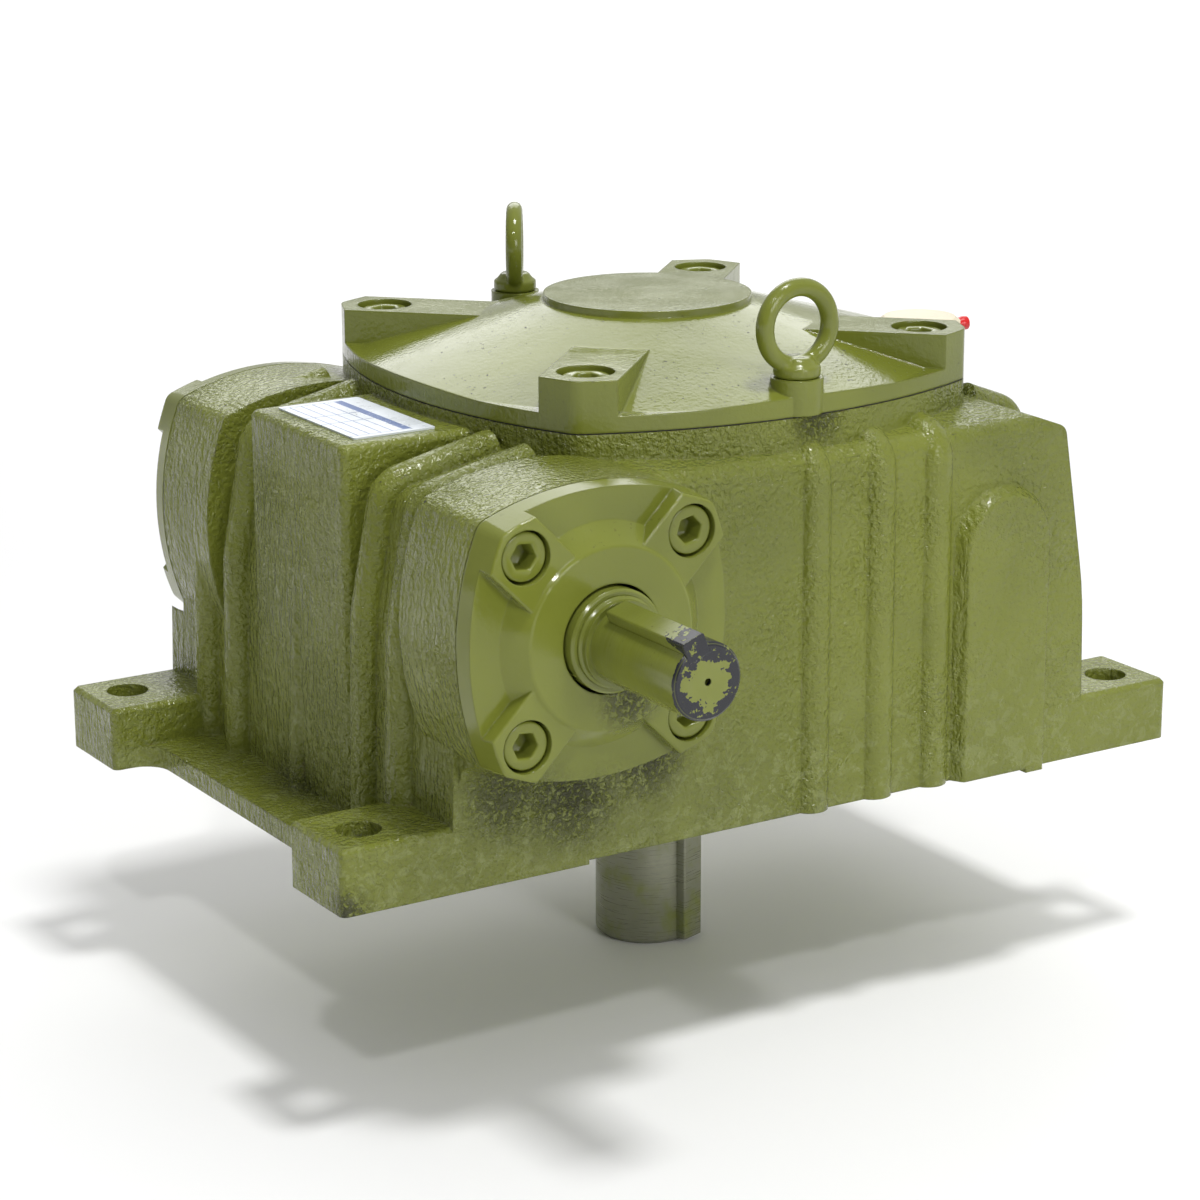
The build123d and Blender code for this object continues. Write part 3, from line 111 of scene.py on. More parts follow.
class Graph:
    """A node tree with short calls for adding and joining nodes."""

    def __init__(self, tree: bpy.types.NodeTree, prefix: str = "ShaderNode") -> None:
        """Keep the tree.

        Args:
            tree: The tree that the calls add to.
            prefix: Start of the node types that are given by their short name.
        """
        self.tree = tree
        self.prefix = prefix

    def node(self, kind: str, inputs: dict | None = None, **settings: object) -> bpy.types.Node:
        """Add a node.

        Args:
            kind: The node's type, in full or without the tree's prefix.
            inputs: Socket name or number to a value, or to an output socket to join.
            settings: Properties to set on the node.

        Returns:
            The new node.
        """
        full = kind if kind.startswith(("ShaderNode", "FunctionNode")) else self.prefix + kind
        node = self.tree.nodes.new(full)
        for key, value in settings.items():
            setattr(node, key, value)
        for key, value in (inputs or {}).items():
            self.feed(node.inputs[key], value)
        return node

    def feed(self, socket: bpy.types.NodeSocket, value: object) -> None:
        """Set a socket, or join it to an output.

        Args:
            socket: The input socket.
            value: A number, colour or vector, or an output socket.
        """
        if isinstance(value, bpy.types.NodeSocket):
            self.tree.links.new(value, socket)
        elif socket.type == "RGBA" and len(value) == 3:
            socket.default_value = (*value, 1.0)
        else:
            socket.default_value = value

    def math(self, operation: str, first: object, second: object = 0.0,
             clamp: bool = False) -> bpy.types.NodeSocket:
        """Add a sum of two numbers or sockets and return its output."""
        return self.node("Math", {0: first, 1: second}, operation=operation, use_clamp=clamp).outputs[0]

    def times(self, first: object, *others: object) -> bpy.types.NodeSocket:
        """Multiply numbers or sockets and return the product."""
        for other in others:
            first = self.math("MULTIPLY", first, other)
        return first

    def remap(self, value: object, low: float, high: float, to_low: float = 0.0, to_high: float = 1.0,
              smooth: bool = True) -> bpy.types.NodeSocket:
        """Carry a value from one range to another, clamped.

        Args:
            value: The socket to read.
            low: Start of the range read.
            high: End of the range read.
            to_low: What the start becomes.
            to_high: What the end becomes.
            smooth: Ease in and out instead of a straight line.

        Returns:
            The output socket.
        """
        node = self.node("MapRange", {0: value, 1: low, 2: high, 3: to_low, 4: to_high})
        node.interpolation_type = "SMOOTHSTEP" if smooth else "LINEAR"
        return node.outputs[0]

    def blend(self, factor: object, first: object, second: object) -> bpy.types.NodeSocket:
        """Blend two colours by a factor and return the colour output."""
        node = self.node("Mix", data_type="RGBA")
        self.feed(node.inputs[0], factor)
        self.feed(node.inputs[6], first)
        self.feed(node.inputs[7], second)
        return node.outputs[2]

    def place(self) -> bpy.types.NodeSocket:
        """Return the object coordinates' socket."""
        return self.node("TexCoord").outputs["Object"]

    def axes(self, vector: bpy.types.NodeSocket) -> list[bpy.types.NodeSocket]:
        """Return a vector's X, Y and Z sockets."""
        return list(self.node("SeparateXYZ", {0: vector}).outputs)

    def noise(self, scale: float, detail: float = 2.0, rough: float = 0.5, stretch: Point = (1.0, 1.0, 1.0),
              shift: float = 0.0, bend: float = 0.0) -> bpy.types.NodeSocket:
        """Add a noise pattern over the object.

        Args:
            scale: Features per metre.
            detail: Octaves.
            rough: Weight of the finer octaves.
            stretch: Scale along each axis.
            shift: Moves the pattern, so that two noises differ.
            bend: Distortion of the pattern.

        Returns:
            The value output, about 0.5 on average.
        """
        coords = self.node("Mapping", {"Vector": self.place(), "Location": (shift, shift * 0.7, -shift * 0.4),
                                       "Scale": stretch}).outputs[0]
        node = self.node("TexNoise", {"Vector": coords, "Scale": scale, "Detail": detail, "Roughness": rough,
                                      "Distortion": bend})
        return node.outputs[0]

    def near(self, centre: Point, reach: float, core: float = 0.1) -> bpy.types.NodeSocket:
        """Return a mask that is 1 at a point and falls to 0 at some distance.

        Args:
            centre: The point.
            reach: Distance at which the mask ends.
            core: Share of the reach that stays at 1.

        Returns:
            The mask.
        """
        away = self.node("VectorMath", {0: self.place(), 1: centre}, operation="DISTANCE").outputs["Value"]
        return self.remap(away, reach, reach * core)


def new_group(name: str, inputs: dict[str, float],
              outputs: tuple[str, ...]) -> tuple[bpy.types.NodeTree, Graph, bpy.types.Node, bpy.types.Node]:
    """Start a shader node group whose sockets are all numbers.

    Args:
        name: The group's name.
        inputs: Input name to its default number.
        outputs: Output names.

    Returns:
        The tree, its graph, the group's input node and its output node.
    """
    tree = bpy.data.node_groups.new(name, "ShaderNodeTree")
    for key, value in inputs.items():
        tree.interface.new_socket(key, in_out="INPUT", socket_type="NodeSocketFloat").default_value = value
    for key in outputs:
        tree.interface.new_socket(key, in_out="OUTPUT", socket_type="NodeSocketFloat")
    return tree, Graph(tree), tree.nodes.new("NodeGroupInput"), tree.nodes.new("NodeGroupOutput")


class Effects:
    """The node groups that several finishes share."""

    def __init__(self) -> None:
        """Build each group once."""
        self.relief = self._relief()
        self.wear = self._wear()
        self.specks = self._specks()
        self.grime_and_shade = self._grime_and_shade()
        self.brush_black = self._brush_black()
        self.turning = self._turning()

    @staticmethod
    def _relief() -> bpy.types.NodeTree:
        """Sand-cast surface under paint: slow swells, sand grain and vertical runs on the sides.

        Returns:
            The group, with a height for a Bump node.
        """
        tree, graph, start, end = new_group(
            "cast_relief", {"Swell": 1.0, "Grain": 1.0, "Runs": 1.0, "Peel": 1.0}, ("Height",))
        swell = graph.times(graph.noise(48.0, 2.0, 0.45), start.outputs["Swell"], 1.5)
        crisp = graph.remap(graph.noise(520.0, 2.0, 0.5), 0.32, 0.68)
        pits = graph.remap(graph.noise(700.0, 2.0, 0.5, shift=3.1), 0.34, 0.46)
        zones = graph.remap(graph.noise(24.0, 2.0, 0.5, shift=8.3), 0.35, 0.65, 0.45, 1.2)
        sand = graph.math("ADD", graph.times(crisp, 0.34), graph.times(pits, 0.16))
        grain = graph.times(sand, zones, start.outputs["Grain"])
        side = graph.axes(graph.node("NewGeometry").outputs["Normal"])[0]
        worm_side = graph.remap(side, -0.6, -0.9)
        streaks = graph.noise(300.0, 3.0, 0.6, stretch=(1.0, 1.0, 0.35), shift=4.7, bend=0.2)
        runs = graph.times(graph.remap(streaks, 0.36, 0.64), worm_side, start.outputs["Runs"], 0.42)
        peel = graph.times(graph.noise(850.0, 1.0, 0.5, shift=1.7), start.outputs["Peel"], 0.05)
        total = graph.math("ADD", graph.math("ADD", swell, grain), graph.math("ADD", runs, peel))
        graph.feed(end.inputs["Height"], total)
        return tree

    @staticmethod
    def _wear() -> bpy.types.NodeTree:
        """Paint knocked off sharp edges, broken up by noise.

        Returns:
            The group, with a mask.
        """
        tree, graph, start, end = new_group("edge_wear", {"Amount": 0.5}, ("Mask",))
        rounded = graph.node("Bevel", {"Radius": WEAR_RADIUS}, samples=4).outputs[0]
        flat = graph.node("NewGeometry").outputs["Normal"]
        match = graph.node("VectorMath", {0: rounded, 1: flat}, operation="DOT_PRODUCT").outputs["Value"]
        edge = graph.remap(match, 0.985, 0.86)
        broken = graph.remap(graph.noise(130.0, 5.0, 0.7, shift=5.3), 0.56, 0.64)
        graph.feed(end.inputs["Mask"], graph.times(edge, broken, start.outputs["Amount"]))
        return tree

    @staticmethod
    def _specks() -> bpy.types.NodeTree:
        """Fine black specks, with more of them on what faces up.

        Returns:
            The group, with a mask.
        """
        tree, graph, start, end = new_group("specks", {"Amount": 0.5}, ("Mask",))
        fine = graph.remap(graph.noise(620.0, 2.0, 0.6, shift=2.2), 0.655, 0.70)
        patches = graph.remap(graph.noise(26.0, 3.0, 0.6, shift=6.1), 0.44, 0.62, 0.12, 1.0)
        up = graph.axes(graph.node("NewGeometry").outputs["Normal"])[2]
        facing = graph.remap(up, 0.2, 0.85, 0.3, 1.0)
        graph.feed(end.inputs["Mask"], graph.times(fine, patches, facing, start.outputs["Amount"]))
        return tree

    @staticmethod
    def _grime_and_shade() -> bpy.types.NodeTree:
        """Wrinkled black dirt and painted shade below the input flange and under the shaft, and scuffs on the
        front foot.

        Returns:
            The group, with a mask.
        """
        tree, graph, start, end = new_group("oily_grime_and_painted_shade", {"Amount": 1.0}, ("Mask",))
        wrinkles = graph.remap(graph.noise(620.0, 3.0, 0.6, shift=7.7, bend=0.6), 0.40, 0.60, 0.12, 1.0)
        reach = 0.0
        # Each spot darkens the paint: dirt, and painted shade below the flange and under the shaft.
        for centre, size in DIRT_AND_SHADE_SPOTS:
            reach = graph.math("MAXIMUM", reach, graph.near(centre, size))
        graph.feed(end.inputs["Mask"], graph.times(wrinkles, reach, start.outputs["Amount"]))
        return tree

    @staticmethod
    def _brush_black() -> bpy.types.NodeTree:
        """Black paint brushed round the input shaft's end, with a ragged inner edge.

        Returns:
            The group, with a mask.
        """
        tree, graph, start, end = new_group("brushed_end", {"End": INPUT_END_Y, "Ring": 0.0078}, ("Mask",))
        x, y, z = graph.axes(graph.place())
        across = graph.math("SUBTRACT", x, WORM_AXIS_X)
        rise = graph.math("SUBTRACT", z, WORM_AXIS_Z)
        square = graph.math("ADD", graph.times(across, across), graph.times(rise, rise))
        radius = graph.math("SQRT", square)
        waves = graph.noise(190.0, 3.0, 0.75, stretch=(1.0, 0.0, 1.0), shift=1.3)
        lobes = graph.remap(waves, 0.3, 0.7, -0.0034, 0.0034, smooth=False)
        ragged = graph.math("ADD", graph.math("ADD", start.outputs["Ring"], lobes), graph.times(rise, -0.08))
        ring = graph.remap(graph.math("SUBTRACT", radius, ragged), -0.0001, 0.0002)
        behind = graph.math("SUBTRACT", y, start.outputs["End"])
        face = graph.remap(behind, 0.0006, 0.0002)
        key_top = graph.remap(rise, 0.0095, 0.0125, 0.0013, 0.0085)
        smear = graph.remap(graph.noise(260.0, 3.0, 0.7, shift=2.9), 0.3, 0.7, -0.6, 0.6, smooth=False)
        spread = graph.math("ADD", key_top, graph.times(key_top, smear))
        rim = graph.times(graph.math("LESS_THAN", behind, spread), graph.remap(behind, 0.0, 0.0007))
        chips = graph.remap(graph.noise(420.0, 4.0, 0.7, shift=6.6), 0.60, 0.64, 1.0, 0.0)
        mask = graph.math("MAXIMUM", graph.times(ring, face), rim)
        graph.feed(end.inputs["Mask"], graph.times(mask, chips))
        return tree

    @staticmethod
    def _turning() -> bpy.types.NodeTree:
        """Fine lines left by the lathe, round an axis along Y or along Z.

        Returns:
            The group, with a value for each direction.
        """
        tree, graph, start, end = new_group("lathe_lines", {"Depth": 1.0}, ("Along Y", "Along Z"))
        for output, stretch in (("Along Y", (0.03, 1.0, 0.03)), ("Along Z", (0.03, 0.03, 1.0))):
            lines = graph.noise(LATHE_LINES, 2.0, 0.6, stretch=stretch)
            graph.feed(end.inputs[output], graph.times(lines, start.outputs["Depth"]))
        return tree


def new_material(name: str) -> tuple[bpy.types.Material, Graph, bpy.types.Node]:
    """Start a material.

    Args:
        name: The material's name.

    Returns:
        The material, its graph and its Principled shader.
    """
    material = bpy.data.materials.new(name)
    material.use_nodes = True
    graph = Graph(material.node_tree)
    return material, graph, material.node_tree.nodes["Principled BSDF"]


def effect(graph: Graph, tree: bpy.types.NodeTree, **values: float) -> bpy.types.Node:
    """Place a shared group in a material.

    Args:
        graph: The material's graph.
        tree: The group.
        values: Input name to its number.

    Returns:
        The group's node.
    """
    node = graph.node("Group", node_tree=tree)
    for key, value in values.items():
        node.inputs[key].default_value = value
    return node


@dataclass(frozen=True)
class Relief:
    """How rough a surface is under its paint: shares of each pattern, then depth and edge radius."""

    swell: float
    grain: float
    runs: float
    peel: float
    depth: float
    edge_radius: float


class Surface(Enum):
    """How the metal under the paint was made."""

    SAND_CAST = Relief(0.8, 1.0, 1.15, 1.0, 0.0013, 0.0013)
    FINE_CAST = Relief(0.16, 0.08, 0.2, 0.8, 0.0010, 0.0010)
    MACHINED = Relief(0.08, 0.03, 0.0, 0.8, 0.0008, 0.0008)
    FASTENER = Relief(0.05, 0.03, 0.0, 0.8, 0.0004, 0.0004)


@dataclass(frozen=True)
class OlivePaint:
    """Thick gloss paint over cast or turned metal."""

    name: str
    surface: Surface
    wear: float
    specks: float
    grime_and_shade: float = 0.0
    dry: float = 0.0

    def build(self, effects: Effects) -> bpy.types.Material:
        """Build the material.

        Args:
            effects: The shared node groups.

        Returns:
            The material.
        """
        material, graph, shader = new_material(self.name)
        kind = self.surface.value
        relief = effect(graph, effects.relief, Swell=kind.swell, Grain=kind.grain, Runs=kind.runs,
                        Peel=kind.peel)
        height = relief.outputs["Height"]
        wear = effect(graph, effects.wear, Amount=self.wear).outputs["Mask"]
        specks = effect(graph, effects.specks, Amount=self.specks).outputs["Mask"]
        grime_and_shade = effect(graph, effects.grime_and_shade, Amount=self.grime_and_shade).outputs["Mask"]
        tone = graph.remap(graph.noise(11.0, 3.0, 0.55), 0.32, 0.68)
        paint = graph.blend(tone, OLIVE_DEEP, OLIVE)
        low = graph.remap(graph.axes(graph.place())[2], 0.062, 0.012)
        dull = graph.remap(graph.noise(150.0, 4.0, 0.7, shift=3.7, bend=0.8), 0.50, 0.60)
        dry = graph.times(dull, low, self.dry)
        paint = graph.blend(dry, paint, OLIVE_DRY)
        rusty = graph.blend(graph.remap(graph.noise(300.0, 2.0, 0.5, shift=9.0), 0.4, 0.6), RUST, BARE_IRON)
        paint = graph.blend(wear, paint, rusty)
        # Specks of dirt, and the grime mask, which paints dirt plus shade below the input flange and under
        # the shaft.
        dirt_and_shade_mask = graph.math("MAXIMUM", specks, graph.times(grime_and_shade, 0.86))
        graph.feed(shader.inputs["Base Color"], graph.blend(dirt_and_shade_mask, paint, DIRT_AND_SHADE))
        rough = graph.remap(graph.noise(60.0, 3.0, 0.6, shift=4.4), 0.3, 0.7, 0.08, 0.2)
        spoiled = graph.math("MAXIMUM", graph.math("MAXIMUM", dirt_and_shade_mask, wear), graph.times(dry, 0.6))
        rough = graph.math("ADD", rough, graph.times(spoiled, 0.4), clamp=True)
        graph.feed(shader.inputs["Roughness"], rough)
        rounded = graph.node("Bevel", {"Radius": kind.edge_radius}, samples=4).outputs[0]
        lumpy = graph.math("ADD", height, graph.times(grime_and_shade, 0.8))
        chipped = graph.math("SUBTRACT", lumpy, graph.times(wear, 0.15))
        bump = graph.node("Bump", {"Height": chipped, "Normal": rounded, "Distance": kind.depth,
                                   "Strength": 1.0})
        graph.feed(shader.inputs["Normal"], bump.outputs[0])
        shader.inputs["IOR"].default_value = 1.45
        return material


@dataclass(frozen=True)
class PaintedSteel:
    """A thin film of olive paint over turned or ground steel."""

    name: str
    lines: str
    bare: float
    rough: float = 0.26
    brushed: bool = False

    def build(self, effects: Effects) -> bpy.types.Material:
        """Build the material.

        Args:
            effects: The shared node groups.

        Returns:
            The material.
        """
        material, graph, shader = new_material(self.name)
        lines = effect(graph, effects.turning, Depth=1.0).outputs[self.lines]
        cloud = graph.noise(65.0, 4.0, 0.65, shift=5.1)
        thin = graph.remap(cloud, 0.5 - 0.28 * self.bare, 0.72 - 0.2 * self.bare)
        thin = graph.times(thin, self.bare)
        film = graph.blend(graph.remap(graph.noise(30.0, 3.0, 0.6), 0.3, 0.7), OLIVE_DEEP, OLIVE)
        film = graph.blend(graph.remap(lines, 0.3, 0.7, 0.0, 0.12), film, OLIVE_DRY)
        colour = graph.blend(thin, film, STEEL)
        specks = effect(graph, effects.specks, Amount=0.7).outputs["Mask"]
        colour = graph.blend(specks, colour, DIRT_AND_SHADE)
        metal = graph.times(thin, 0.85)
        if self.brushed:
            black = effect(graph, effects.brush_black).outputs["Mask"]
            colour = graph.blend(black, colour, BLACK_PAINT)
            metal = graph.math("SUBTRACT", metal, black, clamp=True)
            lines = graph.math("ADD", lines, graph.times(black, 6.0))
        graph.feed(shader.inputs["Base Color"], colour)
        graph.feed(shader.inputs["Metallic"], metal)
        graph.feed(shader.inputs["Roughness"],
                   graph.remap(lines, 0.3, 0.7, self.rough * 0.8, self.rough * 1.3, smooth=False))
        rounded = graph.node("Bevel", {"Radius": 0.0005}, samples=4).outputs[0]
        bump = graph.node("Bump", {"Height": lines, "Normal": rounded, "Distance": 0.00001, "Strength": 0.7})
        graph.feed(shader.inputs["Normal"], bump.outputs[0])
        return material


@dataclass(frozen=True)
class Metal:
    """Bare metal with a light grain."""

    name: str
    colour: Colour
    rough: float
    metallic: float = 1.0

    def build(self, effects: Effects) -> bpy.types.Material:
        """Build the material.

        Args:
            effects: The shared node groups.

        Returns:
            The material.
        """
        material, graph, shader = new_material(self.name)
        lines = effect(graph, effects.turning, Depth=1.0).outputs["Along Z"]
        stain = graph.remap(graph.noise(45.0, 4.0, 0.6, shift=3.0), 0.35, 0.7)
        darker = tuple(0.55 * value for value in self.colour)
        colour = graph.blend(stain, self.colour, darker)
        colour = graph.blend(graph.remap(lines, 0.35, 0.65, 0.0, 0.3), colour, darker)
        graph.feed(shader.inputs["Base Color"], colour)
        shader.inputs["Metallic"].default_value = self.metallic
        rough = graph.remap(lines, 0.3, 0.7, self.rough * 0.8, self.rough * 1.25)
        graph.feed(shader.inputs["Roughness"], rough)
        rounded = graph.node("Bevel", {"Radius": 0.0004}, samples=4).outputs[0]
        bump = graph.node("Bump", {"Height": lines, "Normal": rounded, "Distance": 0.00002, "Strength": 0.6})
        graph.feed(shader.inputs["Normal"], bump.outputs[0])
        return material


@dataclass(frozen=True)
class Moulded:
    """Plastic, rubber or fibre sheet."""

    name: str
    colour: Colour
    rough: float
    texture: float = 0.3

    def build(self, effects: Effects) -> bpy.types.Material:
        """Build the material.

        Args:
            effects: The shared node groups.

        Returns:
            The material.
        """
        material, graph, shader = new_material(self.name)
        grain = graph.noise(1400.0, 2.0, 0.5)
        cloud = graph.remap(graph.noise(40.0, 3.0, 0.6, shift=2.0), 0.3, 0.7, 0.0, 0.35)
        darker = tuple(0.6 * value for value in self.colour)
        colour = graph.blend(cloud, self.colour, darker)
        specks = effect(graph, effects.specks, Amount=0.4).outputs["Mask"]
        graph.feed(shader.inputs["Base Color"], graph.blend(specks, colour, DIRT_AND_SHADE))
        rough = graph.remap(grain, 0.3, 0.7, self.rough * 0.85, self.rough * 1.15)
        graph.feed(shader.inputs["Roughness"], rough)
        bump = graph.node("Bump", {"Height": grain, "Distance": 0.00004, "Strength": self.texture})
        graph.feed(shader.inputs["Normal"], bump.outputs[0])
        return material


@dataclass(frozen=True)
class RuledFoil:
    """White foil with a blue head band and blue rules, and nothing written on it."""

    name: str
    node: str
    blue: Colour = srgb(62, 92, 150)
    white: Colour = srgb(214, 220, 226)
    rule: float = 0.00022
    head_band: float = 0.70
    head_band_half: float = 0.045
    rules: tuple[float, ...] = (0.52, 0.38, 0.24, 0.10)
    posts: tuple[float, ...] = (0.05, 0.42, 0.62, 0.95)
    ruled_half: float = 0.452

    def build(self, effects: Effects) -> bpy.types.Material:
        """Build the material.

        Args:
            effects: The shared node groups.

        Returns:
            The material.
        """
        material, graph, shader = new_material(self.name)
        low, high = (Vector(corner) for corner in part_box(self.node))
        x, y, _ = graph.axes(graph.place())
        width, length = high.x - low.x, high.y - low.y

        def line(across: bpy.types.NodeSocket, middle: float, half: float) -> bpy.types.NodeSocket:
            """Return a mask that is 1 within half a width of a line's middle."""
            return graph.node("Math", {0: across, 1: middle, 2: half}, operation="COMPARE").outputs[0]

        lines = line(x, low.x + self.head_band * width, self.rule + self.head_band_half * width)
        for share in self.rules:
            lines = graph.math("MAXIMUM", lines, line(x, low.x + share * width, self.rule))
        below = graph.math("LESS_THAN", x, low.x + self.head_band * width)
        for share in self.posts:
            post = graph.times(line(y, low.y + share * length, self.rule), below)
            lines = graph.math("MAXIMUM", lines, post)
        inside = line(y, low.y + 0.5 * length, self.ruled_half * length)
        worn = graph.remap(graph.noise(180.0, 4.0, 0.7, shift=2.4), 0.62, 0.68, 1.0, 0.35)
        colour = graph.blend(graph.times(lines, inside, worn), self.white, self.blue)
        specks = effect(graph, effects.specks, Amount=0.6).outputs["Mask"]
        graph.feed(shader.inputs["Base Color"], graph.blend(specks, colour, DIRT_AND_SHADE))
        smear = graph.remap(graph.noise(60.0, 3.0, 0.6, shift=1.1), 0.35, 0.65, 0.22, 0.4)
        graph.feed(shader.inputs["Roughness"], smear)
        ripple = graph.noise(120.0, 2.0, 0.5, shift=3.3)
        bump = graph.node("Bump", {"Height": ripple, "Distance": 0.0002, "Strength": 0.4})
        graph.feed(shader.inputs["Normal"], bump.outputs[0])
        return material


def dress(material: bpy.types.Material, *nodes: str) -> None:
    """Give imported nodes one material.

    Args:
        material: What they get.
        nodes: The nodes' names.
    """
    for node in nodes:
        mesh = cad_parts[node].data
        mesh.materials.clear()
        mesh.materials.append(material)
        LOG.info("dressed %s in %s", node, material.name)


def merged(node: str) -> bmesh.types.BMesh:
    """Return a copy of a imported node's mesh with its loose triangles joined."""
    build = bmesh.new()
    build.from_mesh(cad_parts[node].data)
    bmesh.ops.remove_doubles(build, verts=build.verts, dist=SAME_POINT)
    return build


def parts_of(node: str) -> list[Box]:
    """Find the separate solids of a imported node.

    Args:
        node: The node's name.

    Returns:
        The lowest and highest corner of each solid.
    """
    build = merged(node)
    left = set(build.verts)
    boxes = []
    while left:
        reached = [left.pop()]
        for vertex in reached:
            for edge in vertex.link_edges:
                other = edge.other_vert(vertex)
                if other in left:
                    left.discard(other)
                    reached.append(other)
        places = [vertex.co for vertex in reached]
        boxes.append((Vector(map(min, zip(*places))), Vector(map(max, zip(*places)))))
    build.free()
    return sorted(boxes, key=lambda box: tuple(box[0]))


def new_object(name: str, mesh: bpy.types.Mesh) -> bpy.types.Object:
    """Put a mesh in the scene as an object at the origin."""
    piece = bpy.data.objects.new(name, mesh)
    bpy.context.scene.collection.objects.link(piece)
    return piece


def settle(piece: bpy.types.Object, crease: float = CREASE_ANGLE) -> None:
    """Turn a piece's modifiers into plain mesh and shade it smooth but for its creases.

    Args:
        piece: The object whose modifiers are applied and removed.
        crease: Angle in degrees above which an edge stays sharp.
    """
    finished = piece.evaluated_get(bpy.context.evaluated_depsgraph_get())
    piece.data = bpy.data.meshes.new_from_object(finished)
    piece.modifiers.clear()
    piece.data.shade_smooth()
    build = bmesh.new()
    build.from_mesh(piece.data)
    for edge in build.edges:
        edge.smooth = edge.is_manifold and edge.calc_face_angle(0.0) < math.radians(crease)
    build.to_mesh(piece.data)
    build.free()


class Facing(Enum):
    """Which way a row of screws points, as the turn that carries +Z there."""

    UP = (0.0, 0.0, 0.0)
    FRONT = (math.pi / 2, 0.0, 0.0)
    BACK = (-math.pi / 2, 0.0, 0.0)


